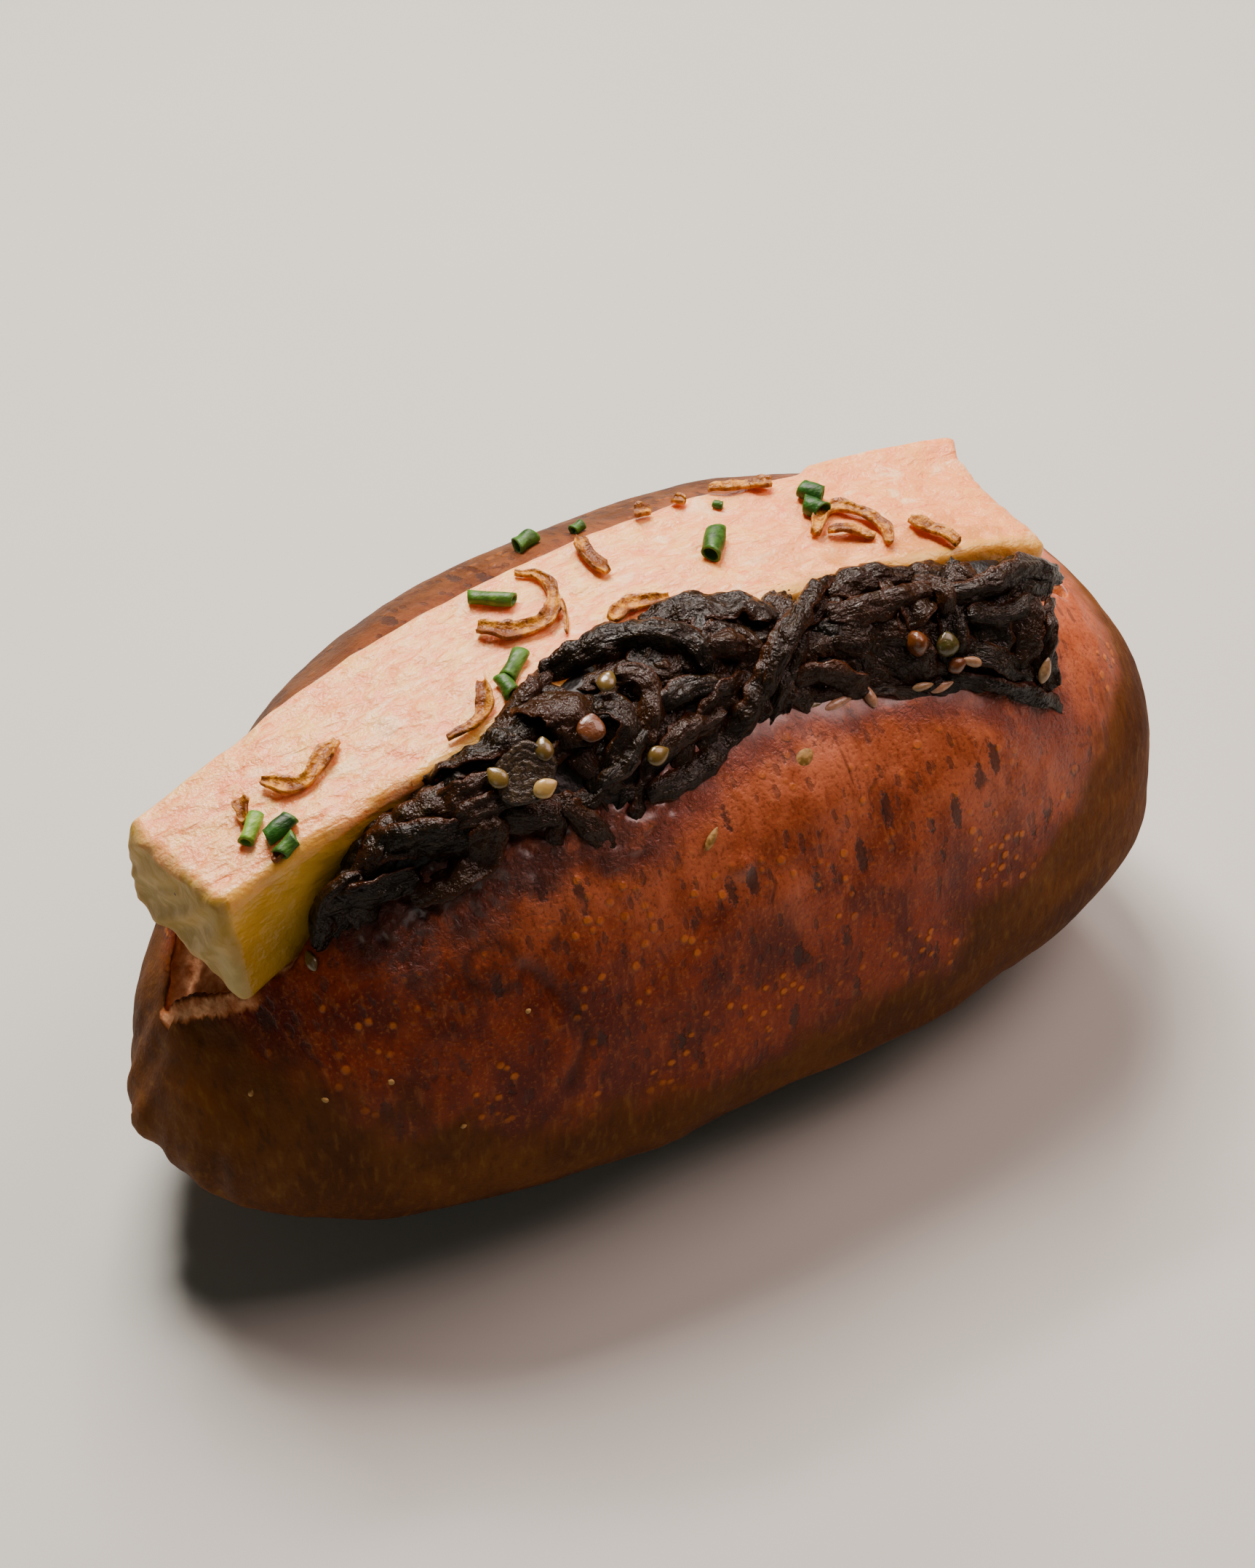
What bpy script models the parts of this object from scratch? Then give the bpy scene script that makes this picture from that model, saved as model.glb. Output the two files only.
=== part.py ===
"""A filled split-top roll: glazed bun, bar of shrimp cake, dark shredded relish, fried shallot and chives.

Metres, +Z up. The roll lies along X with its open left end at -X, and its front lip faces -Y.
The origin is on the table, under the middle of the whole thing.
"""

import math
import random

import bmesh
import bpy
from mathutils import Matrix, Vector, noise

MM = 0.001
GAP = 0.35 * MM  # left between two pieces that touch

# The roll before it is cut open. Its two ends bend towards the front.
BUN_LEFT = 64.5 * MM  # reach from its heart to each end
BUN_RIGHT = 70 * MM
BUN_WIDTH = 71 * MM
BUN_HEIGHT = 65 * MM
BUN_LEVEL = 23.5 * MM  # height at which the roll is widest
BUN_BEND = 6 * MM
BUN_LEAN = 0.27  # slant of the left end, which reaches furthest near the table
BASE_SINK = 1.5 * MM  # how far the round underside would reach below the table, and is flattened
LEFT_POWER = 2.05  # how blunt each end is
RIGHT_POWER = 2.65
TOP_POWER = 2.5  # how square a cross-section is, above and below its widest level
BOTTOM_POWER = 2.35
CRUST_RELIEF = 0.8 * MM
NUB = Vector((-0.997, 0.05, -0.06))  # direction of the small knob that sealed the dough at the left end
NUB_RISE = 1.6 * MM
NUB_SPREAD = 0.05
PINCH = Vector((-55 * MM, -15 * MM, 0))  # where the front lip sags, under the bar's left end
PINCH_DEPTH = 4.5 * MM
PINCH_RADIUS = 10 * MM

# The bar of shrimp cake: a cut block, bent over the roll. Places along it run from -1 at the left to 1.
BAR_LENGTH = 110 * MM
BAR_WIDTH = 21.5 * MM
BAR_DEPTH = 15 * MM
BAR_MIDDLE = Vector((-2 * MM, 1.4 * MM, 66 * MM))
BAR_ARCH = 6.6 * MM
BAR_ARCH_PEAK = 0.2
BAR_BOW = 4.3 * MM
BAR_BOW_PEAK = 0.08
BAR_TAPER = 0.24  # how much narrower its left end is
BAR_EDGE = 1.3 * MM

# The relish: a heap of soft dark shreds that fills the split in front of the bar and hangs over its lip.
RELISH_START = -0.79
RELISH_END = 0.97
RELISH_RISE = 4.2 * MM
SHRED_COUNT = 38
SHRED_LENGTH = (15 * MM, 32 * MM)
SHRED_WIDTH = (3 * MM, 6 * MM)
SHRED_THICKNESS = 1.3 * MM
SESAME_COUNT = 9
SESAME_LENGTH = 3 * MM
RELISH_GAP = 0.9 * MM  # the heap is melted together after it is cut to fit, which eats into this gap
RELISH_GRAIN = 0.45 * MM  # pitch at which it is melted together
RELISH_KEPT = 0.11  # share of the faces that it keeps after that

# Chive and fried shallot.
CHIVE_RADIUS = 0.95 * MM
SHALLOT_WIDTH = 2.2 * MM
SHALLOT_THICKNESS = 1.2 * MM


# ---- Forms that the pieces share ----

def crust_point(direction, grow=0):
    """Where the crust lies in a direction from the roll's heart, or a skin that stands out from it."""
    right, above = direction.x > 0, direction.z > 0
    half_x = (BUN_RIGHT if right else BUN_LEFT) + grow
    half_y = BUN_WIDTH / 2 + grow
    half_z = (BUN_HEIGHT - BUN_LEVEL if above else BUN_LEVEL + BASE_SINK) + grow
    end = RIGHT_POWER if right else LEFT_POWER
    power = TOP_POWER if above else BOTTOM_POWER
    ring = abs(direction.y / half_y) ** power + abs(direction.z / half_z) ** power
    reach = abs(direction.x / half_x) ** end + ring ** (end / power)
    point = direction * reach ** (-1 / end)
    point += direction * CRUST_RELIEF * noise.noise(point / (13 * MM))
    point += direction * NUB_RISE * math.exp(-((direction - NUB.normalized()).length / NUB_SPREAD) ** 2)
    stretch = (point.x / half_x) ** 2
    point.y -= BUN_BEND * stretch
    if not right:
        point.x += BUN_LEAN * point.z * stretch
    point.z -= pinch(point.x, point.y) * min(max(point.z / PINCH_RADIUS, 0), 1)
    point.z = max(point.z + BUN_LEVEL, -grow)
    return point


def pinch(x, y):
    """How far the crust sags at a place near the left end of the split."""
    away = math.hypot(x - PINCH.x, y - PINCH.y) / PINCH_RADIUS
    return PINCH_DEPTH * math.exp(-away ** 2)


def crust_height(x, y):
    """Height of the uncut roll's top over a place on the table."""
    reach, end = (BUN_RIGHT, RIGHT_POWER) if x > 0 else (BUN_LEFT, LEFT_POWER)
    rise = BUN_HEIGHT - BUN_LEVEL
    for _ in range(4):
        straight = x - BUN_LEAN * rise * (x / reach) ** 2 if x < 0 else x
        along = min(abs(straight) / reach, 0.999)
        across = abs(y + BUN_BEND * along ** 2) / (BUN_WIDTH / 2)
        ring = (1 - along ** end) ** (TOP_POWER / end) - across ** TOP_POWER
        rise = (BUN_HEIGHT - BUN_LEVEL) * max(ring, 0) ** (1 / TOP_POWER)
    return BUN_LEVEL + rise - pinch(x, y)


def bar_line(along):
    """Middle of the bar's top face at a place along it."""
    return Vector((
        BAR_MIDDLE.x + along * BAR_LENGTH / 2,
        BAR_MIDDLE.y - BAR_BOW * (along - BAR_BOW_PEAK) ** 2,
        BAR_MIDDLE.z - BAR_ARCH * (along - BAR_ARCH_PEAK) ** 2,
    ))


def bar_frame(along):
    """The bar's own directions there: along it, across it to the back, and up out of its top."""
    step = 0.01
    ahead = (bar_line(along + step) - bar_line(along - step)).normalized()
    across = Vector((0, 0, 1)).cross(ahead).normalized()
    return ahead, across, ahead.cross(across)


def bar_half_width(along):
    narrow = min(max((-0.45 - along) / 0.55, 0), 1)
    return BAR_WIDTH / 2 * (1 - BAR_TAPER * narrow)


def bar_front(along):
    """How far forward the bar's front face is."""
    return bar_line(along).y - bar_half_width(along)


def hump(along, middle, spread):
    return math.exp(-((along - middle) / spread) ** 2)


def relish_span(along):
    """Where the heap starts at the bar and ends on the crust, both measured forward of the bar's front."""
    inner = -0.5 * MM - 4 * MM * hump(along, 0.02, 0.18) + 1.5 * MM * hump(along, -0.75, 0.3)
    inner += 1.5 * MM * max(along - 0.5, 0) / 0.45
    outer = 10.5 * MM + 4 * MM * hump(along, -0.15, 0.2) + 4 * MM * hump(along, 0.85, 0.3)
    outer -= 8 * MM * hump(along, -0.95, 0.38)
    return inner, outer


def relish_place(along, across, lift=0):
    """A place on the heap. across runs from -1 on the crust to 1 at the bar."""
    inner, outer = relish_span(along)
    reach = outer + (inner - outer) * (across + 1) / 2
    line = bar_line(along)
    x, y = line.x, bar_front(along) - reach
    end = min((along - RELISH_START) / 0.12, (RELISH_END - along) / 0.12)
    rise = RELISH_RISE * min(max(end, 0), 1) ** 0.5 * max(1 - across ** 2, 0) ** 0.5
    bed = crust_height(x, y)
    # At the right end the crust falls away from the bar, and the heap leans high against the bar there.
    lean = min(max((along - 0.35) / 0.35, 0), 1) * (across + 1) / 2
    bed += lean * max(line.z - 2 * MM - bed, 0)
    return Vector((x, y, bed + rise - 0.7 * MM + lift))


def mesh_from(bm, name):
    """A mesh datablock out of a bmesh, with its faces turned outwards."""
    data = bpy.data.meshes.new(name)
    bmesh.ops.recalc_face_normals(bm, faces=bm.faces)
    bm.to_mesh(data)
    bm.free()
    return data


def new_object(name, mesh_data, collection):
    made = bpy.data.objects.new(name, mesh_data)
    collection.objects.link(made)
    return made


def new_cutter(name, mesh_data, collection):
    cutter = new_object(name, mesh_data, collection)
    cutter.hide_render = True
    cutter.display_type = "WIRE"
    return cutter


def loft(rings):
    """A closed body through rings with the same number of points."""
    bm = bmesh.new()
    loops = [[bm.verts.new(point) for point in ring] for ring in rings]
    for one, two in zip(loops, loops[1:]):
        for i in range(len(one)):
            j = (i + 1) % len(one)
            bm.faces.new((one[i], one[j], two[j], two[i]))
    bm.faces.new(loops[0][::-1])
    bm.faces.new(loops[-1])
    return bm


def boolean(piece, operation, other, solver="EXACT"):
    """Join or cut a piece with one object or with a whole collection."""
    modifier = piece.modifiers.new(operation.lower(), "BOOLEAN")
    modifier.solver = solver
    modifier.operation = operation
    if isinstance(other, bpy.types.Collection):
        modifier.operand_type = "COLLECTION"
        modifier.collection = other
    else:
        modifier.object = other


def apply_modifiers(piece):
    bpy.context.view_layer.update()
    shape = bpy.data.meshes.new_from_object(piece.evaluated_get(bpy.context.evaluated_depsgraph_get()))
    piece.modifiers.clear()
    piece.data = shape


def ribbon(spine, width, thickness):
    """A flat strip along a spine of (middle, side, up) places, widest in its middle, as a closed body."""
    rings = []
    for number, (middle, side, up) in enumerate(spine):
        t = number / (len(spine) - 1)
        half = width / 2 * (0.4 + 0.6 * math.sin(math.pi * (0.1 + 0.8 * t)))
        low = middle - up * thickness * 0.2
        rings.append([low + side * half, middle + up * thickness / 2,
                      low - side * half, middle - up * thickness / 2])
    return loft(rings)


def fuse(piece, bodies, name, solver="EXACT"):
    """Join many small bodies to a piece as one solid."""
    pieces = bpy.data.collections.new(name)
    bpy.context.scene.collection.children.link(pieces)
    for body in bodies:
        new_object(name, mesh_from(body, name), pieces)
    boolean(piece, "UNION", pieces, solver)
    apply_modifiers(piece)
    for used in list(pieces.objects):
        bpy.data.objects.remove(used)
    bpy.data.collections.remove(pieces)


# ---- The bun ----

def roll_mesh(name, grow=0):
    bm = bmesh.new()
    bmesh.ops.create_uvsphere(bm, u_segments=48, v_segments=34, radius=1)
    bmesh.ops.rotate(bm, verts=bm.verts, matrix=Matrix.Rotation(math.pi / 2, 3, "Y"))
    for vert in bm.verts:
        stretched = Vector((vert.co.x * 2 * BUN_LEFT, vert.co.y * BUN_WIDTH, vert.co.z * BUN_HEIGHT))
        vert.co = crust_point(stretched.normalized(), grow)
    return mesh_from(bm, name)


def split_section(along, shrink):
    """One section of what is missing where the roll is cut open. It is wider at the top."""
    line = bar_line(along)
    inner, outer = relish_span(along)
    # The left end closes to a slit that is deeper than the bar and has a flat rim at the front.
    slit = min(max((-0.85 - along) / 0.205, 0), 1)
    floor = line.z - BAR_DEPTH - 1.5 * MM - 11 * MM * hump(along, -1.1, 0.17) + shrink
    filled = min(max((along - RELISH_START) / 0.15, 0), max((RELISH_END - along) / 0.1, 0), 1)
    lip = bar_front(along) - 1.2 * MM - (inner + 0.6 * (outer - inner)) * filled + shrink
    lip += 11.6 * MM * slit ** 1.6
    foot = bar_front(along) + 1 * MM + 9.7 * MM * slit ** 1.2 + shrink
    back = line.y + bar_half_width(along) + 0.8 * MM - 6.3 * MM * slit ** 2 - shrink
    back = max(back, lip + 0.4 * MM, foot + 0.4 * MM)
    crust = crust_height(line.x, lip)
    slope = (lip - foot) / max(crust - floor, 10 * MM)
    top = BUN_HEIGHT + 12 * MM
    flat = min(2 * slit, 1)
    rim = foot + slope * 0.7 * (crust - floor)
    rim += flat * (lip + min(3 * MM, 0.6 * (back - lip)) - rim)
    rim_height = floor + 0.7 * (crust - floor)
    rim_height += flat * (crust - 1.2 * MM - rim_height)
    return [
        (line.x, foot, floor),
        (line.x, rim, rim_height),
        (line.x, lip, crust),
        (line.x, lip + slope * (top - crust), top),
        (line.x, back, top),
        (line.x, back, floor),
    ]


def split_mesh(name, shrink=0):
    stations = 34
    start, end = -1.06, 1.07
    places = [start + (end - start) * station / stations for station in range(stations + 1)]
    return mesh_from(loft([split_section(along, shrink) for along in places]), name)


def make_bun(collection, cutters):
    bun = new_object("bun", roll_mesh("bun"), collection)
    boolean(bun, "DIFFERENCE", new_cutter("split", split_mesh("split"), cutters))
    boolean(bun, "DIFFERENCE", new_cutter("bar_seat", bar_mesh("bar_seat", 1.5 * GAP), cutters))
    apply_modifiers(bun)
    lip = Vector((0, 16 * MM, 0))
    lip.z = crust_height(lip.x, lip.y) + 0.4 * MM
    fuse(bun, [chive(lip, Vector((1, 0, 0)), Vector((0, 0, 1)), 3 * MM)], "lip_chive")


# ---- The bar of shrimp cake ----

def bar_mesh(name, grow=0):
    """The bar as a rounded block, bent along its line. grow makes every face stand out by that much."""
    size = Vector((BAR_LENGTH, BAR_WIDTH, BAR_DEPTH))
    bm = bmesh.new()
    bmesh.ops.create_cube(bm, size=1, matrix=Matrix.Diagonal(size).to_4x4())
    for axis, cuts in ((0, 22), (1, 4), (2, 3)):
        normal = Vector([float(i == axis) for i in range(3)])
        for cut in range(1, cuts):
            place = normal * size[axis] * (cut / cuts - 0.5)
            parts = bm.verts[:] + bm.edges[:] + bm.faces[:]
            bmesh.ops.bisect_plane(bm, geom=parts, plane_co=place, plane_no=normal)
    sharp = [edge for edge in bm.edges if edge.calc_face_angle() > 1]
    bmesh.ops.bevel(bm, geom=sharp, offset=BAR_EDGE, segments=2, profile=0.5, affect="EDGES")
    for vert in bm.verts:
        grown = [1 + 2 * grow / side for side in size]
        vert.co = bar_bend(Vector([c * g for c, g in zip(vert.co, grown)]))
    return mesh_from(bm, name)


def bar_bend(point):
    """Take a point of the straight block to its place in the bent bar."""
    along = point.x / (BAR_LENGTH / 2)
    side = point.y / (BAR_WIDTH / 2)
    ahead, across, up = bar_frame(along)
    depth = BAR_DEPTH / 2 - point.z
    down = depth / BAR_DEPTH
    # The right end has a corner cut away at the front, so its back corner stands up.
    depth += 1.2 * MM * hump(along, 1.05, 0.1) * hump(side, -1.1, 0.8) * (1 - down)
    reach = 2.5 * MM * hump(along, 1, 0.12) * hump(side, -0.9, 0.7)
    # The left end is cut upright and spreads at its foot, and its back corner stands a little higher.
    end = hump(along, -1.05, 0.2)
    back_corner = end * (1 + side) / 2
    reach -= (1 + 3 * down) * MM * end
    depth -= (0.7 + 2.5 * down) * MM * back_corner
    wobble = 0.5 * MM * noise.noise(Vector((along * 6, side * 1.5, 3)))
    across_by = side * (bar_half_width(along) + 1.5 * MM * down * end) + wobble + 0.6 * MM * back_corner
    return bar_line(along) + ahead * reach + across * across_by - up * (depth + wobble * 0.6)


def bar_place(bar, along, side, lift=0):
    """A place on the bar's top. side runs from -1 at the front to 1."""
    block = Vector((along * BAR_LENGTH / 2, side * BAR_WIDTH / 2, BAR_DEPTH / 2))
    up = bar_frame(along)[2]
    spot = bar.closest_point_on_mesh(bar_bend(block))[1]
    return spot + up * lift


# Fried shallot on the bar: along, side, heading in degrees, length, how far it curls in degrees
SHALLOTS = (
    (-0.68, -0.02, 0, 11 * MM, 70),
    (-0.84, -0.05, 60, 3.5 * MM, 20),
    (-0.83, -0.86, 20, 3 * MM, 30),
    (-0.12, 0.26, 0, 13 * MM, 90),
    (0.07, -0.28, -5, 6.5 * MM, -60),
    (-0.36, -0.6, 38, 9.5 * MM, -50),
    (0.1, 0.55, -98, 8.5 * MM, 40),
    (0.32, 0.86, 20, 4 * MM, 60),
    (0.48, 0.84, 0, 7 * MM, 40),
    (0.6, -0.25, -20, 8 * MM, 80),
    (0.72, 0.06, 20, 7 * MM, -100),
    (0.73, -0.55, -12, 9 * MM, 50),
)

# Cut chive on the bar: along, side, heading in degrees, length
CHIVES = (
    (-0.84, -0.34, 28, 3.8 * MM),
    (-0.79, -0.52, 25, 3.6 * MM),
    (-0.80, -0.76, 28, 3.0 * MM),
    (-0.15, 0.61, -32, 4.8 * MM),
    (-0.20, -0.41, 36, 4.0 * MM),
    (-0.26, -0.62, 79, 3.4 * MM),
    (0.33, 0.06, 44, 3.2 * MM),
    (0.41, 0.67, 0, 1.4 * MM),
    (0.60, 0.46, 20, 2.6 * MM),
    (0.57, 0.12, 60, 2.6 * MM),
)


def shallot(bar, along, side, heading, length, curl):
    """One curled strip of fried shallot lying on the bar."""
    stations = 6
    spine = []
    spot = Vector((0, 0))
    path = []
    for station in range(stations + 1):
        angle = math.radians(heading + curl * (station / stations - 0.5))
        path.append((spot.copy(), angle))
        spot += Vector((math.cos(angle), math.sin(angle))) * length / stations
    for number, (spot_on, angle) in enumerate(path):
        spot_on -= spot / 2
        here_along = along + spot_on.x / (BAR_LENGTH / 2)
        here_side = side + spot_on.y / bar_half_width(here_along)
        lift = 0.1 * MM + 0.35 * MM * math.sin(number * 1.1 + heading)
        ahead, across, up = bar_frame(here_along)
        sideways = across * math.cos(angle) - ahead * math.sin(angle)
        spine.append((bar_place(bar, here_along, here_side, lift), sideways, up))
    return ribbon(spine, SHALLOT_WIDTH, SHALLOT_THICKNESS)


def chive(middle, ahead, up, length):
    """One short piece of chive, lying along a direction on whatever is under it."""
    bm = bmesh.new()
    bmesh.ops.create_cone(
        bm, cap_ends=True, segments=8, radius1=CHIVE_RADIUS, radius2=CHIVE_RADIUS, depth=length
    )
    turn = Matrix((up.cross(ahead), up, ahead)).transposed().to_4x4()
    bm.transform(Matrix.Translation(middle) @ turn)
    return bm


def bar_chive(bar, along, side, heading, length):
    ahead, across, up = bar_frame(along)
    angle = math.radians(heading)
    direction = ahead * math.cos(angle) + across * math.sin(angle)
    return chive(bar_place(bar, along, side, CHIVE_RADIUS / 2), direction, up, length)


def make_bar(collection):
    bar = new_object("shrimp_bar", bar_mesh("shrimp_bar"), collection)
    bpy.context.view_layer.update()
    toppings = [shallot(bar, *row) for row in SHALLOTS] + [bar_chive(bar, *row) for row in CHIVES]
    fuse(bar, toppings, "topping")
    return bar


# ---- The relish ----

def relish_core():
    """The heap under its shreds, from below the top of the split up to a lumpy surface."""
    rings = []
    stations = 30
    points = 9
    for station in range(stations + 1):
        along = RELISH_START + (RELISH_END - RELISH_START) * (0.01 + 0.98 * station / stations)
        ring = []
        for point in range(points):
            across = -1 + 2 * point / (points - 1)
            place = relish_place(along, across)
            place.z += 0.8 * MM * noise.noise(place / (4 * MM)) * (1 - across ** 2)
            ring.append(place)
        floor = min(bar_line(along).z - BAR_DEPTH + 0.5 * MM, ring[0].z - 2 * MM, ring[-1].z - 4 * MM)
        wall = max(ring[-1].y, bar_front(along) + 1 * MM)
        ring.append(Vector((place.x, wall, ring[-1].z - 1.5 * MM)))
        ring.append(Vector((place.x, wall, floor)))
        ring.append(Vector((place.x, ring[0].y, floor)))
        rings.append(ring)
    return loft(rings)


def shred(draw, length, width):
    """One shred: a flat strip that wanders over the heap, waves and twists."""
    along = draw.uniform(RELISH_START + 0.08, RELISH_END - 0.08)
    across = draw.uniform(-0.8, 0.8)
    heading = draw.gauss(0.2, 0.45)
    curl = draw.uniform(-0.5, 0.5)
    phase = draw.uniform(0, math.tau)
    twist = draw.uniform(-0.8, 0.8)
    spine = []
    stations = 7
    step = length / stations
    inner, outer = relish_span(along)
    spot = Vector((along, across))
    spot -= Vector((math.cos(heading) / BAR_LENGTH, math.sin(heading) / (outer - inner))) * length
    for station in range(stations + 1):
        t = station / stations
        angle = heading + curl * (t - 0.5) * 2
        inner, outer = relish_span(spot.x)
        spot.x += step * math.cos(angle) / (BAR_LENGTH / 2)
        spot.y += step * math.sin(angle) / ((outer - inner) / 2)
        spot.x = min(max(spot.x, RELISH_START), RELISH_END)
        spot.y = min(max(spot.y, -1), 0.85)
        lift = 0.5 * MM + 1.1 * MM * math.sin(phase + t * 6)
        middle = relish_place(spot.x, spot.y, lift)
        ahead = Vector((math.cos(angle), math.sin(angle), 0))
        side = Vector((-ahead.y, ahead.x, 0))
        slope = relish_place(spot.x, spot.y + 0.05) - relish_place(spot.x, spot.y - 0.05)
        side.z = side.y * slope.z / slope.y * 0.8
        side.rotate(Matrix.Rotation(twist * math.sin(phase * 2 + t * 4), 3, ahead))
        side.normalize()
        up = ahead.cross(side)
        spine.append((middle, side, up))
    return ribbon(spine, width, SHRED_THICKNESS)


def sesame_seed(draw):
    """One seed lying on the heap: a small drop."""
    bm = bmesh.new()
    bmesh.ops.create_uvsphere(bm, u_segments=6, v_segments=5, radius=0.5)
    for vert in bm.verts:
        point = 0.75 + 0.5 * vert.co.z
        vert.co = Vector((vert.co.x * 0.62 * point, vert.co.y * 0.32, vert.co.z)) * SESAME_LENGTH
    place = relish_place(draw.uniform(-0.6, 0.75), draw.uniform(-0.6, 0.6), 1.6 * MM)
    turn = Matrix.Rotation(draw.uniform(0, math.tau), 4, "Z") @ Matrix.Rotation(math.pi / 2, 4, "X")
    bm.transform(Matrix.Translation(place) @ turn)
    return bm


def make_relish(collection, cutters):
    draw = random.Random(7)
    relish = new_object("relish", mesh_from(relish_core(), "relish"), collection)
    bodies = []
    for number in range(SHRED_COUNT):
        share = 1 - number / SHRED_COUNT
        length = SHRED_LENGTH[0] + (SHRED_LENGTH[1] - SHRED_LENGTH[0]) * share
        bodies.append(shred(draw, length, draw.uniform(*SHRED_WIDTH)))
    bodies += [sesame_seed(draw) for _ in range(SESAME_COUNT)]
    fuse(relish, bodies, "relish_piece", "MANIFOLD")
    roll = new_cutter("roll_skin", roll_mesh("roll_skin", RELISH_GAP), cutters)
    boolean(roll, "DIFFERENCE", new_cutter("inner_split", split_mesh("inner_split", RELISH_GAP), cutters))
    boolean(relish, "DIFFERENCE", roll, "MANIFOLD")
    boolean(relish, "DIFFERENCE", new_cutter("bar_skin", bar_mesh("bar_skin", RELISH_GAP), cutters), "MANIFOLD")
    melt(relish)
    apply_modifiers(relish)
    drop_scraps(relish.data)


def melt(piece):
    """Run the shreds together where they touch, as the wet heap does, with few faces."""
    remesh = piece.modifiers.new("melt", "REMESH")
    remesh.mode = "VOXEL"
    remesh.voxel_size = RELISH_GRAIN
    decimate = piece.modifiers.new("fewer_faces", "DECIMATE")
    decimate.ratio = RELISH_KEPT


def drop_scraps(mesh_data):
    """Keep only the largest body of a mesh."""
    bm = bmesh.new()
    bm.from_mesh(mesh_data)
    bodies = []
    left = set(bm.faces)
    while left:
        body = {left.pop()}
        edge = list(body)
        while edge:
            near = {other for side in edge.pop().edges for other in side.link_faces} - body
            body |= near
            edge += near
        left -= body
        bodies.append(body)
    bodies.sort(key=len)
    for body in bodies[:-1]:
        bmesh.ops.delete(bm, geom=list(body), context="FACES")
    bm.to_mesh(mesh_data)
    bm.free()


# ---- Colours and assembly ----

LOOKS = {
    "bun": ((0.30, 0.085, 0.03), 0.35),
    "shrimp_bar": ((0.80, 0.62, 0.48), 0.4),
    "relish": ((0.03, 0.016, 0.012), 0.3),
}


def paint(piece):
    """Give a piece its own material and smooth shading."""
    colour, roughness = LOOKS[piece.name]
    material = bpy.data.materials.new(piece.name)
    material.use_nodes = True
    shader = material.node_tree.nodes["Principled BSDF"]
    shader.inputs["Base Color"].default_value = (*colour, 1)
    shader.inputs["Roughness"].default_value = roughness
    shader.inputs["Metallic"].default_value = 0
    piece.data.materials.clear()
    piece.data.materials.append(material)
    piece.data.shade_smooth()
    piece.data.set_sharp_from_angle(angle=math.radians(50))


def centre(pieces):
    """Move the meshes so that the origin lies on the table under the middle of their common box."""
    points = [vert.co for piece in pieces for vert in piece.data.vertices]
    low = Vector([min(point[i] for point in points) for i in range(3)])
    high = Vector([max(point[i] for point in points) for i in range(3)])
    shift = Vector((-(low.x + high.x) / 2, -(low.y + high.y) / 2, -low.z))
    for piece in pieces:
        piece.data.transform(Matrix.Translation(shift))


def main():
    for old in list(bpy.data.objects):
        bpy.data.objects.remove(old)
    parts = bpy.data.collections.new("filled_roll")
    cutters = bpy.data.collections.new("cutters")
    for collection in (parts, cutters):
        bpy.context.scene.collection.children.link(collection)
    make_bun(parts, cutters)
    make_bar(parts)
    make_relish(parts, cutters)
    for piece in parts.objects:
        paint(piece)
    centre(parts.objects)


main()
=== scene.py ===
# %% [markdown]
# # A filled split-top roll
# A glazed bun is split along its top. A pale bar of shrimp cake stands in the split, with a heap of dark
# braised shreds in front of it, and fried shallot, chives and sesame on top. The imported model gives the
# frame: each piece below is made in its coordinates and stands for one of its solids, with finer shapes.
# The box of the imported model is kept.

# %% Load the frame
import math
import random

import bmesh
import bpy
import numpy as np
from mathutils import Matrix, Vector, noise
from mathutils.bvhtree import BVHTree


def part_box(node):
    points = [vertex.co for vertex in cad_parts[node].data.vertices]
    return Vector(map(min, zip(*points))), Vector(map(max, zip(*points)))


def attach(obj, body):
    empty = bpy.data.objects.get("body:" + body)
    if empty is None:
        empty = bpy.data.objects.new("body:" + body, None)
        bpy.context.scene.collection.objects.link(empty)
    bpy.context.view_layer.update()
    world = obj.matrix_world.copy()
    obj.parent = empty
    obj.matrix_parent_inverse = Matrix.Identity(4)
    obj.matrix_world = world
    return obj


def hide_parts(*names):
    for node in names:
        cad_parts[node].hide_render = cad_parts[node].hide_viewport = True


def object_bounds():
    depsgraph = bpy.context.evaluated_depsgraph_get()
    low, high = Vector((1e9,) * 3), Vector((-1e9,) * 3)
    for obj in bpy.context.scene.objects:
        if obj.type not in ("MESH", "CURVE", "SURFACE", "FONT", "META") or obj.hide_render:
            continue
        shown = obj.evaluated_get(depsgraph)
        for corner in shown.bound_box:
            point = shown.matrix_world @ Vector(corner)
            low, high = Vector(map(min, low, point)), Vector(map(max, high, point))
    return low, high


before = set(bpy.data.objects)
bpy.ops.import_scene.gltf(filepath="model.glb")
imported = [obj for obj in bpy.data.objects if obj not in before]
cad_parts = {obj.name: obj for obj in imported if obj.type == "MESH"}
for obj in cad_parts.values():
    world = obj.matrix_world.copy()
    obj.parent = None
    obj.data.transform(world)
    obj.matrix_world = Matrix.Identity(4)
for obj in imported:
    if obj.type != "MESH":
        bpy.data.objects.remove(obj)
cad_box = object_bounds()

MM = 0.001
print("nodes:", sorted(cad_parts))

# %% [markdown]
# ## Points and faces
# Every piece starts as points and faces. Lofting joins rings of points into a closed tube, which suits the
# split's wedge, the shreds and the shallot alike, and many tubes can share one object.

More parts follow.
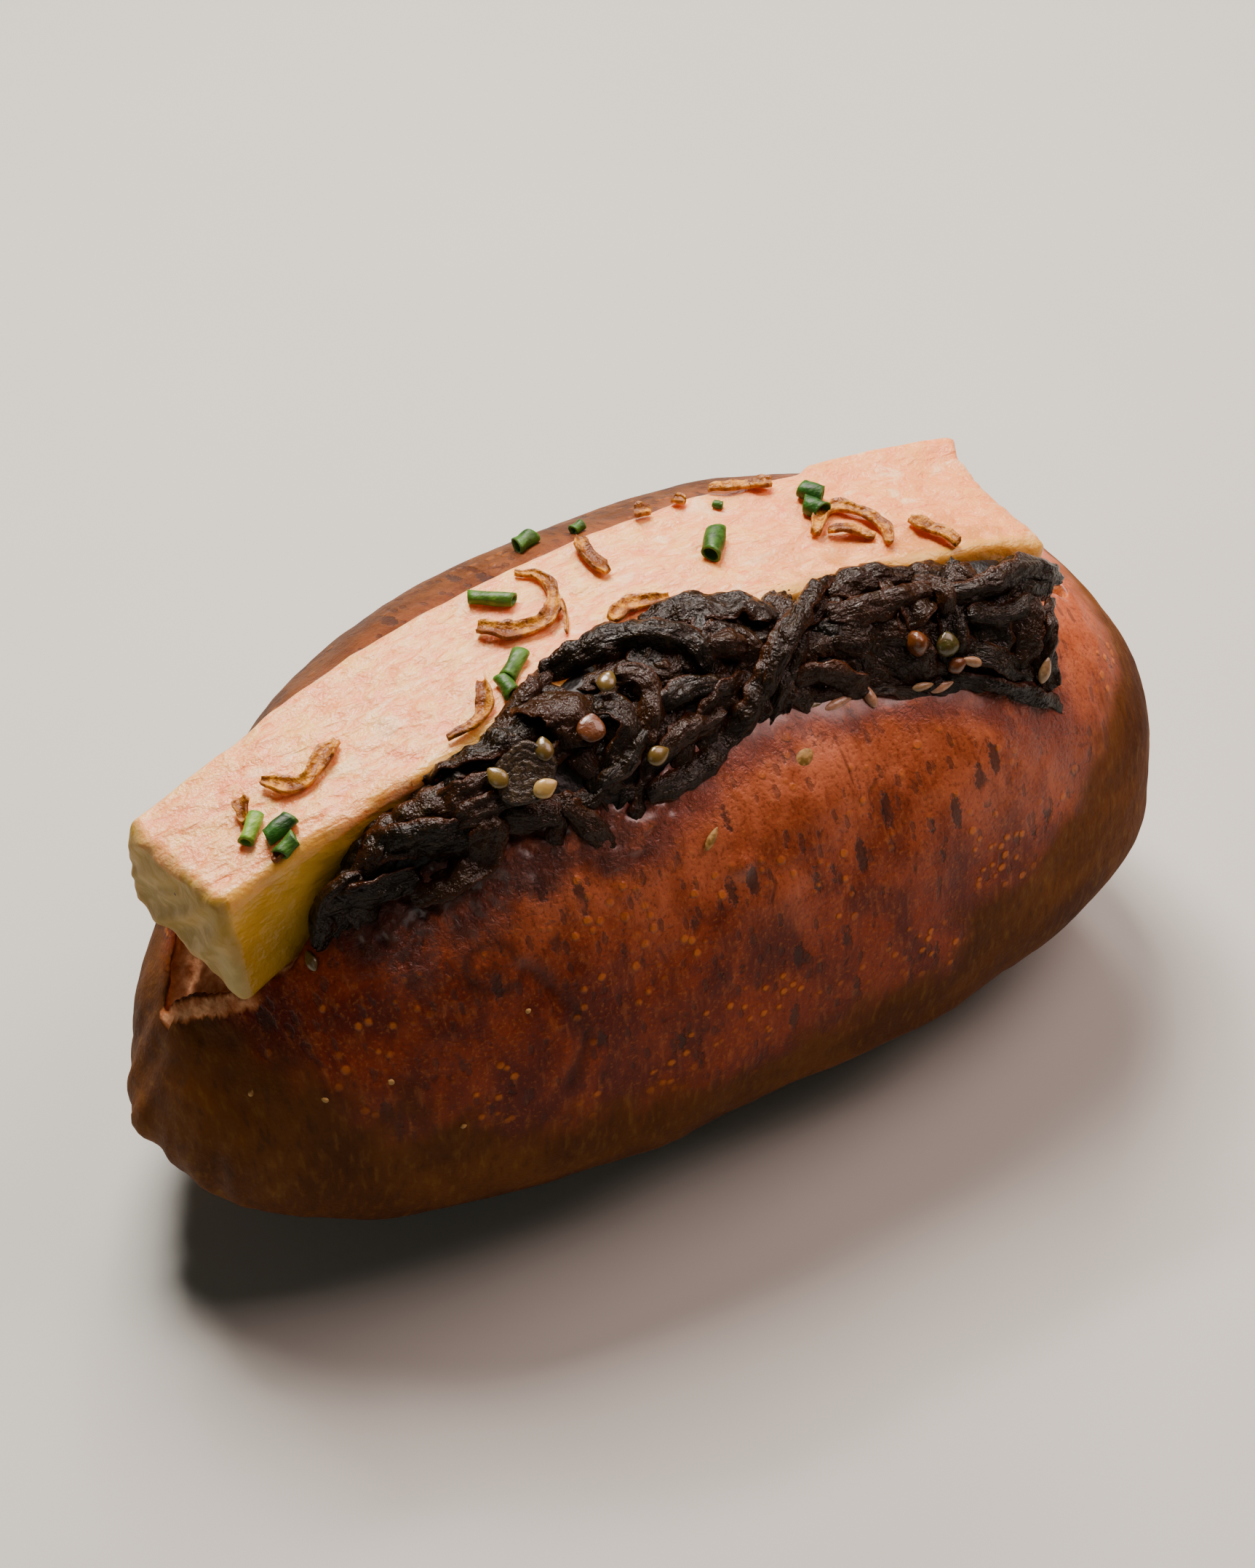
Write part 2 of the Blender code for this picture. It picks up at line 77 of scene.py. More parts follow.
# %% Meshes
def mesh_object(name, points, faces):
    """A new object from lists of points and faces, with its faces turned outwards."""
    data = bpy.data.meshes.new(name)
    data.from_pydata([tuple(point) for point in points], [], faces)
    bm = bmesh.new()
    bm.from_mesh(data)
    bmesh.ops.remove_doubles(bm, verts=bm.verts, dist=1e-7)
    bmesh.ops.recalc_face_normals(bm, faces=bm.faces)
    bm.to_mesh(data)
    bm.free()
    made = bpy.data.objects.new(name, data)
    bpy.context.scene.collection.objects.link(made)
    return made


def band(one, two, around):
    """Faces between two rings of points, given where each ring starts."""
    turns = [(i, (i + 1) % around) for i in range(around)]
    return [(one + i, one + j, two + j, two + i) for i, j in turns]


def tube_faces(rings, around, start=0):
    """Faces of a closed tube of rings, each with the same number of points, and its two end caps."""
    faces = []
    for ring in range(rings - 1):
        faces += band(start + ring * around, start + (ring + 1) * around, around)
    faces.append(tuple(start + i for i in range(around))[::-1])
    faces.append(tuple(start + (rings - 1) * around + i for i in range(around)))
    return faces


def loft(name, rings):
    """One closed tube through rings of points."""
    points = [point for ring in rings for point in ring]
    return mesh_object(name, points, tube_faces(len(rings), len(rings[0])))


def many_tubes(name, tubes):
    """One object out of many lofted tubes, such as all the shreds of a heap."""
    points, faces = [], []
    for rings in tubes:
        faces += tube_faces(len(rings), len(rings[0]), len(points))
        points += [point for ring in rings for point in ring]
    return mesh_object(name, points, faces)

# %% [markdown]
# ## Shader maths
# A finish is worked out in the material's nodes. Written as plain arithmetic it stays readable, so this class
# wraps one socket: a sum or product of two of them adds the Math node. Colours go through Mix, since a Math
# node would turn them grey, and every other node is made by one method.

# %% Shader class
class Value:
    """One socket of a material. Arithmetic on it adds Math nodes."""

    def __init__(self, tree, socket=None):
        self.tree = tree
        self.socket = socket

    def node(self, kind, settings=None, sockets=None, output=0):
        """Add a node of a kind. Its settings are set first, then its sockets are filled or linked."""
        made = self.tree.nodes.new("ShaderNode" + kind)
        for name, setting in (settings or {}).items():
            if name == "stops":
                for number, (place, colour) in enumerate(setting):
                    stops = made.color_ramp.elements
                    stop = stops[number] if number < 2 else stops.new(place)
                    stop.position = place
                    stop.color = (*colour, 1)
            else:
                setattr(made, name, setting)
        for name, value in (sockets or {}).items():
            if isinstance(value, Value):
                self.tree.links.new(value.socket, made.inputs[name])
            else:
                made.inputs[name].default_value = value
        return Value(self.tree, made.outputs[output])

    def maths(self, operation, *values):
        """Add a Math node for an operation on sockets and numbers."""
        return self.node("Math", {"operation": operation}, dict(enumerate(values)))

    def __add__(self, other):
        return self.maths("ADD", self, other)

    def __radd__(self, other):
        return self.maths("ADD", other, self)

    def __sub__(self, other):
        return self.maths("SUBTRACT", self, other)

    def __rsub__(self, other):
        return self.maths("SUBTRACT", other, self)

    def __mul__(self, other):
        return self.maths("MULTIPLY", self, other)

    def __rmul__(self, other):
        return self.maths("MULTIPLY", other, self)

    def rise(self, low, high):
        """0 below low, 1 above high, smooth between. Low may be above high, for a fall."""
        if low > high:
            return 1 - self.rise(high, low)
        ends = {"Value": self, "From Min": low, "From Max": high}
        return self.node("MapRange", {"interpolation_type": "SMOOTHSTEP"}, ends)

    def colour(self, low, high):
        """The low colour where this is 0 and the high one where it is 1."""
        low, high = [c if isinstance(c, Value) else (*c, 1) for c in (low, high)]
        return self.node("Mix", {"data_type": "RGBA"}, {0: self, 6: low, 7: high}, 2)

    def ramp(self, *stops):
        """Colours at places from 0 to 1, mixed between them."""
        return self.node("ValToRGB", {"stops": stops}, {"Fac": self})

    def place(self, stretch=(1, 1, 1)):
        """Coordinates in metres, pressed together or drawn out along each axis."""
        start = self.node("TexCoord", output=3)
        return self.node("VectorMath", {"operation": "MULTIPLY"}, {0: start, 1: stretch})

    def axis(self, number):
        return self.node("SeparateXYZ", None, {0: self.place()}, number)

    def grain(self, size, detail=2, stretch=(1, 1, 1), bend=0.0):
        """Cloudy noise with lumps of about that size in metres."""
        sockets = {"Vector": self.place(stretch), "Scale": 1 / size, "Detail": detail, "Distortion": bend}
        return self.node("TexNoise", None, sockets)

    def spots(self, size, stretch=(1, 1, 1)):
        """Distance from the nearest of many scattered centres, about that size apart."""
        return self.node("TexVoronoi", None, {"Vector": self.place(stretch), "Scale": 1 / size})

    def read(self, name):
        """A number that the mesh keeps for each of its points."""
        return self.node("Attribute", {"attribute_name": name}, None, 2)

    def bump(self, depth, height):
        """A normal from a height. Depth is the real height of the relief in metres."""
        return self.node("Bump", None, {"Distance": depth, "Height": height})


def layered(base, *layers):
    """Lay colours over a base one by one, each as strongly as its share says at every place."""
    for share, tint in layers:
        base = share.colour(base, tint)
    return base


def finish(name, paint, **fixed):
    """A material: paint is called with a Value and gives what varies, and fixed holds what doesn't."""
    material = bpy.data.materials.new(name)
    material.use_nodes = True
    tree = material.node_tree
    shader = tree.nodes["Principled BSDF"]
    for socket, value in fixed.items():
        shader.inputs[socket.replace("_", " ")].default_value = value
    for socket, value in paint(Value(tree)).items():
        tree.links.new(value.socket, shader.inputs[socket])
    return material

# %% [markdown]
# ## Camera and light
# The view looks down on the front lip from the left. A longish lens keeps the roll's ends in proportion. Food
# is lit from above and behind, so that the belly of the bread stays in shade. A broad pinkish lamp on the
# right lays the sheen on the glazed lip, and two narrow ones behind draw wet glints on the bar and the
# relish. The pale floor gives back some light, so the fill from the front stays weak.

# %% Camera and lights
VIEW_TURN, VIEW_RISE = math.radians(-32), math.radians(43)
VIEW_REACH = 0.4567
VIEW_AIM = (5.9 * MM, 7.5 * MM, 28 * MM)  # from the middle of the box's foot
LENS = 85
LAMPS = (  # name, place, target, two sizes, power in watts, tint
    ("key", (0.06, 0.26, 0.54), (0, 0, 0.03), (0.26, 0.22), 6.4, (1.0, 0.87, 0.80)),
    ("sheen", (0.34, -0.10, 0.50), (0, 0, 0.03), (0.36, 0.36), 2.9, (1.0, 0.70, 0.65)),
    ("left glint", (0.03, 0.36, 0.54), (0, 0, 0.06), (0.14, 0.04), 1.5, (1.0, 0.93, 0.88)),
    ("right glint", (0.31, 0.39, 0.41), (0, 0, 0.06), (0.14, 0.04), 1.3, (1.0, 0.93, 0.88)),
    ("fill", (-0.55, -0.45, 0.40), (0, 0, 0.03), (0.4, 0.4), 0.4, (1.0, 0.95, 0.86)),
)
SKY_TINT, SKY_STRENGTH = (0.8, 0.85, 0.8, 1), 0.035


def look_at(thing, start, target):
    """Put a lamp or a camera at a place and turn it to its target."""
    thing.location = start
    thing.rotation_euler = (target - start).to_track_quat("-Z", "Y").to_euler()


def lamp(name, start, target, size, power, tint):
    """A soft rectangular lamp."""
    data = bpy.data.lights.new(name, "AREA")
    data.shape = "RECTANGLE"
    data.size, data.size_y = size
    data.energy = power
    data.color = tint
    made = bpy.data.objects.new(name, data)
    bpy.context.scene.collection.objects.link(made)
    look_at(made, Vector(start), Vector(target))


def add_camera():
    """A camera that looks down on the object from the front left."""
    low, high = (Vector(corner) for corner in cad_box)
    middle = (low + high) / 2
    aim = Vector((middle.x + VIEW_AIM[0], middle.y + VIEW_AIM[1], low.z + VIEW_AIM[2]))
    flat = math.cos(VIEW_RISE)
    back = Vector((math.sin(VIEW_TURN) * flat, -math.cos(VIEW_TURN) * flat, math.sin(VIEW_RISE)))
    data = bpy.data.cameras.new("camera")
    data.lens = LENS
    camera = bpy.data.objects.new("camera", data)
    bpy.context.scene.collection.objects.link(camera)
    look_at(camera, aim + back * VIEW_REACH, aim)
    bpy.context.scene.camera = camera


def add_sky():
    """Weak even light from all around."""
    sky = bpy.data.worlds.new("studio")
    sky.use_nodes = True
    background = sky.node_tree.nodes["Background"]
    background.inputs["Color"].default_value = SKY_TINT
    background.inputs["Strength"].default_value = SKY_STRENGTH
    bpy.context.scene.world = sky


add_camera()
for row in LAMPS:
    lamp(*row)
add_sky()
print("lamps:", len(LAMPS))

# %% [markdown]
# ## Floor
# A plain pale sheet, a little lighter and darker from place to place, far larger than the view.

# %% Floor
FLOOR_HALF = 2


def floor_paint(look):
    """Pale grey, hardly uneven."""
    mottle = look.grain(0.05, 3)
    return {"Base Color": mottle.colour((0.46, 0.48, 0.44), (0.50, 0.52, 0.48))}


corners_of_floor = [(x * FLOOR_HALF, y * FLOOR_HALF, 0) for x, y in ((-1, -1), (1, -1), (1, 1), (-1, 1))]
floor = mesh_object("floor", corners_of_floor, [(0, 1, 2, 3)])
floor.data.materials.append(finish("floor", floor_paint, Roughness=0.6))

# %% [markdown]
# ## The roll's form
# A proved and baked roll is close to a superellipsoid: round lengthwise, a little square in section, and
# flattened where it sat on the tray. One end slants, both ends bend towards the front, and a small knob shows
# where the dough was sealed. One function gives the crust's place in any direction from the roll's heart, so
# that the bread, its split and the filling can all be laid on the same surface.

# %% Sizes and the crust
BUN_LEFT, BUN_RIGHT = 64.5 * MM, 70 * MM  # reach from the heart to each end
BUN_WIDTH, BUN_HEIGHT, BUN_LEVEL = 71 * MM, 65 * MM, 23.5 * MM  # the heart lies at that level
BUN_BEND, BUN_LEAN, BASE_SINK = 6 * MM, 0.27, 1.5 * MM
LEFT_POWER, RIGHT_POWER, TOP_POWER, BOTTOM_POWER = 2.05, 2.65, 2.5, 2.35
CRUST_RELIEF, CRUST_LUMP = 0.8 * MM, 13 * MM
NUB, NUB_RISE, NUB_SPREAD = Vector((-0.997, 0.05, -0.06)).normalized(), 1.6 * MM, 0.05
PINCH, PINCH_DEPTH, PINCH_RADIUS = Vector((-55 * MM, -15 * MM, 0)), 4.5 * MM, 10 * MM


def pinch(x, y):
    """How far the crust sags at a place near the left end of the split."""
    return PINCH_DEPTH * math.exp(-(math.hypot(x - PINCH.x, y - PINCH.y) / PINCH_RADIUS) ** 2)


def crust_point(direction):
    """Where the crust lies in a direction from the roll's heart."""
    right, above = direction.x > 0, direction.z > 0
    half_x = BUN_RIGHT if right else BUN_LEFT
    half_y = BUN_WIDTH / 2
    half_z = BUN_HEIGHT - BUN_LEVEL if above else BUN_LEVEL + BASE_SINK
    end = RIGHT_POWER if right else LEFT_POWER
    power = TOP_POWER if above else BOTTOM_POWER
    ring = abs(direction.y / half_y) ** power + abs(direction.z / half_z) ** power
    point = direction * (abs(direction.x / half_x) ** end + ring ** (end / power)) ** (-1 / end)
    point += direction * CRUST_RELIEF * noise.noise(point / CRUST_LUMP)
    point += direction * NUB_RISE * math.exp(-((direction - NUB).length / NUB_SPREAD) ** 2)
    stretch = (point.x / half_x) ** 2
    point.y -= BUN_BEND * stretch
    if not right:
        point.x += BUN_LEAN * point.z * stretch
    point.z -= pinch(point.x, point.y) * min(max(point.z / PINCH_RADIUS, 0), 1)
    point.z = max(point.z + BUN_LEVEL, 0)
    return point


def crust_height(x, y):
    """Height of the uncut roll's top over a place on the table."""
    reach, end = (BUN_RIGHT, RIGHT_POWER) if x > 0 else (BUN_LEFT, LEFT_POWER)
    rise = BUN_HEIGHT - BUN_LEVEL
    for _ in range(4):
        straight = x - BUN_LEAN * rise * (x / reach) ** 2 if x < 0 else x
        along = min(abs(straight) / reach, 0.999)
        across = abs(y + BUN_BEND * along ** 2) / (BUN_WIDTH / 2)
        ring = (1 - along ** end) ** (TOP_POWER / end) - across ** TOP_POWER
        rise = (BUN_HEIGHT - BUN_LEVEL) * max(ring, 0) ** (1 / TOP_POWER)
    return BUN_LEVEL + rise - pinch(x, y)

# %% [markdown]
# ## The whole roll
# Before it is split the roll is a fine ball stretched to its form. It also tells how far all the forms have
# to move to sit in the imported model's box, and it stays for a while, for measuring depth under the crust.

# %% Whole roll
def roll(name, around, rings):
    """The whole roll before it is split, as a fine ball stretched to its form."""
    bm = bmesh.new()
    bmesh.ops.create_uvsphere(bm, u_segments=around, v_segments=rings, radius=1)
    bmesh.ops.rotate(bm, verts=bm.verts, matrix=Matrix.Rotation(math.pi / 2, 3, "Y"))
    for vert in bm.verts:
        stretched = Vector((vert.co.x * 2 * BUN_LEFT, vert.co.y * BUN_WIDTH, vert.co.z * BUN_HEIGHT))
        vert.co = crust_point(stretched.normalized())
    bmesh.ops.recalc_face_normals(bm, faces=bm.faces)
    data = bpy.data.meshes.new(name)
    bm.to_mesh(data)
    bm.free()
    made = bpy.data.objects.new(name, data)
    bpy.context.scene.collection.objects.link(made)
    return made


def off_centre(axis):
    """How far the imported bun's middle lies from the whole roll's, along one axis."""
    places = [vert.co[axis] for vert in whole.data.vertices]
    low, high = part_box("bun")
    return (low[axis] + high[axis] - (min(places) + max(places))) / 2


whole = roll("whole", 240, 200)
SHIFT = Vector((off_centre(0), off_centre(1), 0))
skin = BVHTree.FromObject(whole, bpy.context.evaluated_depsgraph_get())
print("the forms are moved by", [round(c / MM, 2) for c in SHIFT], "mm to sit in the model's box")

# %% [markdown]
# ## Soft steps and noise
# Food has no hard changes. A hump, a soft step and an even noise shape all the relief below.

# %% Steps and noise
def hump(value, middle, spread):
    """1 at the middle, fading away over the spread on both sides."""
    return math.exp(-((value - middle) / spread) ** 2)


def step(value, low, high):
    """0 below low, 1 above high, and a smooth rise between them."""
    t = min(max((value - low) / (high - low), 0), 1)
    return t * t * (3 - 2 * t)


def rough(point, size, seed=0.0):
    """Even noise from about -1 to 1, with lumps of about that size."""
    return noise.noise(Vector(point) / size + Vector((seed, seed * 1.7, -seed)))

# %% [markdown]
# ## The bar's and the heap's forms
# The bar of shrimp cake is a cut block that bends over the roll and narrows to its left end. Places along it
# run from -1 at the left to 1. The heap of shreds lies between the bar and the front lip: a place on it is
# given along the bar, and across from -1 on the crust to 1 at the bar.

# %% Bar and heap
BAR_LENGTH, BAR_WIDTH, BAR_DEPTH, BAR_EDGE = 110 * MM, 21.5 * MM, 15 * MM, 1.3 * MM
BAR_MIDDLE = Vector((-2 * MM, 1.4 * MM, 66 * MM))
BAR_ARCH, BAR_ARCH_PEAK = 6.6 * MM, 0.2
BAR_BOW, BAR_BOW_PEAK, BAR_TAPER = 4.3 * MM, 0.08, 0.24
RELISH_START, RELISH_END, RELISH_RISE = -0.79, 0.97, 4.2 * MM


def bar_line(along):
    """Middle of the bar's top face at a place along it."""
    return Vector((
        BAR_MIDDLE.x + along * BAR_LENGTH / 2,
        BAR_MIDDLE.y - BAR_BOW * (along - BAR_BOW_PEAK) ** 2,
        BAR_MIDDLE.z - BAR_ARCH * (along - BAR_ARCH_PEAK) ** 2,
    ))


def bar_frame(along):
    """The bar's own directions there: along it, across it to the back, and up out of its top."""
    ahead = (bar_line(along + 0.01) - bar_line(along - 0.01)).normalized()
    across = Vector((0, 0, 1)).cross(ahead).normalized()
    return ahead, across, ahead.cross(across)


def bar_half_width(along):
    """Half the bar's width, which shrinks towards its left end."""
    narrow = min(max((-0.45 - along) / 0.55, 0), 1)
    return BAR_WIDTH / 2 * (1 - BAR_TAPER * narrow)


def bar_front(along):
    """Where the bar's front side lies."""
    return bar_line(along).y - bar_half_width(along)


def relish_span(along):
    """Where the heap starts at the bar and ends on the crust, both measured forward of the bar's front."""
    inner = -0.5 * MM - 4 * MM * hump(along, 0.02, 0.18) + 1.5 * MM * hump(along, -0.75, 0.3)
    inner += 1.5 * MM * max(along - 0.5, 0) / 0.45
    outer = 10.5 * MM + 4 * MM * hump(along, -0.15, 0.2) + 4 * MM * hump(along, 0.85, 0.3)
    outer -= 8 * MM * hump(along, -0.95, 0.38)
    return inner, outer


def relish_place(along, across):
    """A place on the heap."""
    inner, outer = relish_span(along)
    reach = outer + (inner - outer) * (across + 1) / 2
    x, y = bar_line(along).x, bar_front(along) - reach
    end = min((along - RELISH_START) / 0.12, (RELISH_END - along) / 0.12)
    rise = RELISH_RISE * min(max(end, 0), 1) ** 0.5 * max(1 - across ** 2, 0) ** 0.5
    bed = crust_height(x, y)
    # At the right end the crust falls away from the bar, and the heap leans high against the bar there.
    lean = min(max((along - 0.35) / 0.35, 0), 1) * (across + 1) / 2
    bed += lean * max(bar_line(along).z - 2 * MM - bed, 0)
    return Vector((x, y, bed + rise - 0.7 * MM))

# %% [markdown]
# ## The block and its bend
# The bar is made as a straight rounded block, then each of its points goes to its place in the bent bar. The
# same two functions cut the bar's seat out of the bread.

# %% Straight block and bend
def bar_bend(point):
    """Take a point of the straight block to its place in the bent bar."""
    along, side = point.x / (BAR_LENGTH / 2), point.y / (BAR_WIDTH / 2)
    ahead, across, up = bar_frame(along)
    depth = BAR_DEPTH / 2 - point.z
    down = depth / BAR_DEPTH
    # The right end has a corner cut away at the front, so its back corner stands up.
    depth += 1.2 * MM * hump(along, 1.05, 0.1) * hump(side, -1.1, 0.8) * (1 - down)
    reach = 2.5 * MM * hump(along, 1, 0.12) * hump(side, -0.9, 0.7)
    # The left end is cut upright and spreads at its foot, and its back corner stands a little higher.
    end = hump(along, -1.05, 0.2)
    back_corner = end * (1 + side) / 2
    reach -= (1 + 3 * down) * MM * end
    depth -= (0.7 + 2.5 * down) * MM * back_corner
    wobble = 0.5 * MM * noise.noise(Vector((along * 6, side * 1.5, 3)))
    across_by = side * (bar_half_width(along) + 1.5 * MM * down * end) + wobble + 0.6 * MM * back_corner
    return bar_line(along) + ahead * reach + across * across_by - up * (depth + wobble * 0.6)


def block_side(axis, end, counts, half, grow):
    """Points on one face of the rounded block, row by row."""
    one, two = [i for i in range(3) if i != axis]
    points = []
    for i in range(counts[one] + 1):
        for j in range(counts[two] + 1):
            spot = Vector((0, 0, 0))
            spot[axis] = end * half[axis]
            spot[one] = half[one] * (2 * i / counts[one] - 1)
            spot[two] = half[two] * (2 * j / counts[two] - 1)
            core = Vector([min(max(c, -h + BAR_EDGE), h - BAR_EDGE) for c, h in zip(spot, half)])
            points.append(core + (spot - core).normalized() * (BAR_EDGE + grow))
    return points


def block(name, pitch, grow=0.0):
    """The bar as a fine rounded block, still straight, made of six grids."""
    half = Vector((BAR_LENGTH, BAR_WIDTH, BAR_DEPTH)) / 2
    counts = [round(2 * side / pitch) for side in half]
    points, faces = [], []
    for axis in range(3):
        rows, columns = [counts[i] for i in range(3) if i != axis]
        for end in (-1, 1):
            start = len(points)
            points += block_side(axis, end, counts, half, grow)
            row = columns + 1
            corners = [start + i * row + j for i in range(rows) for j in range(columns)]
            faces += [(corner, corner + 1, corner + row + 1, corner + row) for corner in corners]
    return mesh_object(name, points, faces)

# %% [markdown]
# ## Cutting and covering
# A piece is cut with another closed mesh. Covering it again with even small faces afterwards gives every
# region enough points for its relief.

# %% Cut and cover
def apply_modifiers(piece):
    """Make what a piece's modifiers show its real mesh."""
    bpy.context.view_layer.update()
    shape = bpy.data.meshes.new_from_object(piece.evaluated_get(bpy.context.evaluated_depsgraph_get()))
    piece.modifiers.clear()
    piece.data = shape


def cut(piece, cutter):
    """Take the cutter's shape out of a piece, and throw the cutter away."""
    modifier = piece.modifiers.new("cut", "BOOLEAN")
    modifier.solver = "MANIFOLD"
    modifier.operation = "DIFFERENCE"
    modifier.object = cutter
    apply_modifiers(piece)
    bpy.data.objects.remove(cutter)


def remesh(piece, size, rounds):
    """Cover a piece with even faces, and round its sharp edges a little."""
    voxels = piece.modifiers.new("even", "REMESH")
    voxels.mode = "VOXEL"
    voxels.voxel_size = size
    soften = piece.modifiers.new("soften", "SMOOTH")
    soften.factor = 0.5
    soften.iterations = rounds
    apply_modifiers(piece)

# %% [markdown]
# ## The split
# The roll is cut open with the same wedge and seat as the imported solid, then covered again with even faces,
# which rounds the lip as a knife and a soft crumb would.

# %% Split and seat
SPLIT_FROM, SPLIT_REACH, SPLIT_STATIONS = -1.06, 2.13, 100


def split_section(along):
    """One section of what is missing where the roll is cut open. It is wider at the top."""
    line = bar_line(along)
    inner, outer = relish_span(along)
    # The left end closes to a slit that is deeper than the bar and has a flat rim at the front.
    slit = min(max((-0.85 - along) / 0.205, 0), 1)
    floor_here = line.z - BAR_DEPTH - 1.5 * MM - 11 * MM * hump(along, -1.1, 0.17)
    filled = min(max((along - RELISH_START) / 0.15, 0), max((RELISH_END - along) / 0.1, 0), 1)
    lip = bar_front(along) - 1.2 * MM - (inner + 0.6 * (outer - inner)) * filled + 11.6 * MM * slit ** 1.6
    foot = bar_front(along) + 1 * MM + 9.7 * MM * slit ** 1.2
    behind = line.y + bar_half_width(along) + 0.8 * MM - 6.3 * MM * slit ** 2
    behind = max(behind, lip + 0.4 * MM, foot + 0.4 * MM)
    crust = crust_height(line.x, lip)
    slope = (lip - foot) / max(crust - floor_here, 10 * MM)
    top = BUN_HEIGHT + 12 * MM
    flat = min(2 * slit, 1)
    rim = foot + slope * 0.7 * (crust - floor_here)
    rim += flat * (lip + min(3 * MM, 0.6 * (behind - lip)) - rim)
    rim_height = floor_here + 0.7 * (crust - floor_here)
    rim_height += flat * (crust - 1.2 * MM - rim_height)
    return [
        (line.x, foot, floor_here),
        (line.x, rim, rim_height),
        (line.x, lip, crust),
        (line.x, lip + slope * (top - crust), top),
        (line.x, behind, top),
        (line.x, behind, floor_here),
    ]


def split_wedge():
    """The wedge that opens the roll from end to end."""
    places = [SPLIT_FROM + SPLIT_REACH * station / SPLIT_STATIONS for station in range(SPLIT_STATIONS + 1)]
    return loft("wedge", [split_section(along) for along in places])


bun = roll("bread", 300, 240)
cut(bun, split_wedge())
seat = block("seat", 1 * MM, 0.5 * MM)
for vert in seat.data.vertices:
    vert.co = bar_bend(vert.co)
cut(bun, seat)
remesh(bun, 0.65 * MM, 3)
print("bread:", len(bun.data.vertices), "points")

# %% [markdown]
# ## Marks on the crust
# A fold curves down the front, a few pits and a lump sit on it, and the glaze dried in a dark ring. Near the
# filling the crust is wet, most of all below the heap's left part. Each function gives one mark's strength.

# %% Marks
def spots_at(*rows):
    """Places given in mm."""
    return [Vector(row) * MM for row in rows]


CREASE = spots_at((-28, -29, 46.5), (-24, -31.5, 40.5), (-23, -33.3, 36), (-25.5, -33.7, 31))
PITS = spots_at((-57, -11.7, 35.6), (-59, -13.3, 32.5), (-49, -22, 33), (-44, -26, 31))
LUMP = Vector((-0.7, -30.3, 49.6)) * MM
RING, RING_RADIUS = Vector((-31, -27.5, 47)) * MM, 2.9 * MM  # a dark ring in the glaze
DEEP = 1.1 * MM  # how far under the crust the bread is all pale


def dab(distance, spread):
    """1 at a mark, fading away from it over the spread."""
    return math.exp(-(distance / spread) ** 2)


def from_crease(point):
    """Distance from a fold that curves down the front."""
    nearest = 1.0
    for one, two in zip(CREASE, CREASE[1:]):
        t = min(max((point - one).dot(two - one) / (two - one).length_squared, 0), 1)
        nearest = min(nearest, (point - one - (two - one) * t).length)
    return nearest


def wetness(point):
    """1 beside the filling, falling away over the crust below it."""
    if point.z < 30 * MM or point.y > 2 * MM:
        return 0.0
    along = (point.x - BAR_MIDDLE.x) / (BAR_LENGTH / 2)
    border = bar_front(along) - relish_span(along)[1]
    inside = step(along, RELISH_START - 0.05, RELISH_START + 0.12)
    inside *= step(-along, -RELISH_END, 0.12 - RELISH_END)
    ahead = max(border - point.y + 1.5 * MM * rough(point, 4 * MM, 2), 0)
    reach = (5 + 4.5 * hump(point.x, -38 * MM, 14 * MM)) * MM
    return inside * (1 - step(ahead, 0.1 * reach, 1.3 * reach))


def glazed(point):
    """1 where egg wash browned the crust, 0 below its ragged edge and at the two ends."""
    bend = 0.0075 if point.x > 2 * MM else 0.0042
    edge = 21.5 * MM + bend * (point.x / MM - 2) ** 2 * MM
    edge += 16 * MM * step(point.y, 0, 30 * MM)
    edge += 4 * MM * rough(point, 9 * MM, 11) + 3 * MM * rough(point, 3 * MM, 12)
    inside = step(-point.x, -72 * MM, -58 * MM) * step(point.x, -61.5 * MM, -58 * MM)
    return step(point.z, edge - 3 * MM, edge + 5 * MM) * inside


def stain_and_shade_marks(point):
    """Dark marks in the glaze: the ring, which is a stain, and painted shade in the fold and the pits."""
    ring = abs((point - RING).length - RING_RADIUS * (1 + 0.3 * rough(point, 3 * MM, 13)))
    mark = 0.9 * dab(ring, 0.7 * MM) + 0.5 * dab((point - RING).length, 1.6 * MM)
    mark = max(mark, 0.8 * dab(from_crease(point), 1.1 * MM))
    for pit in PITS:
        mark = max(mark, 0.9 * dab((point - pit).length, 1.6 * MM))
    return mark


def torn(point):
    """1 on the rim at the left end of the split, where the skin came off and the crumb shows."""
    along = (point.x - BAR_MIDDLE.x) / (BAR_LENGTH / 2)
    if point.z < 25 * MM or not -1.06 < along < -0.9:
        return 0.0
    lip = split_section(along)[2][1] + 0.5 * MM * rough(point, 1.5 * MM, 14)
    band = step(point.y, lip - 1.5 * MM, lip - 1.0 * MM) - step(point.y, lip + 1.0 * MM, lip + 1.6 * MM)
    return band * (1 - step(along, -0.95, -0.9))

# %% [markdown]
# ## Relief of the crust and the crumb
# Each point of the bread learns how deep under the crust it lies and how near the wet filling it is, and
# moves along its normal: the crust gets its folds, creases and pits, and the cut faces get torn pores.

# %% Relief of the bread
def store(piece, name, values):
    """Keep one number for each point of a piece, for its material to read."""
    layer = piece.data.attributes.new(name, "FLOAT", "POINT")
    layer.data.foreach_set("value", np.asarray(values, np.float32))


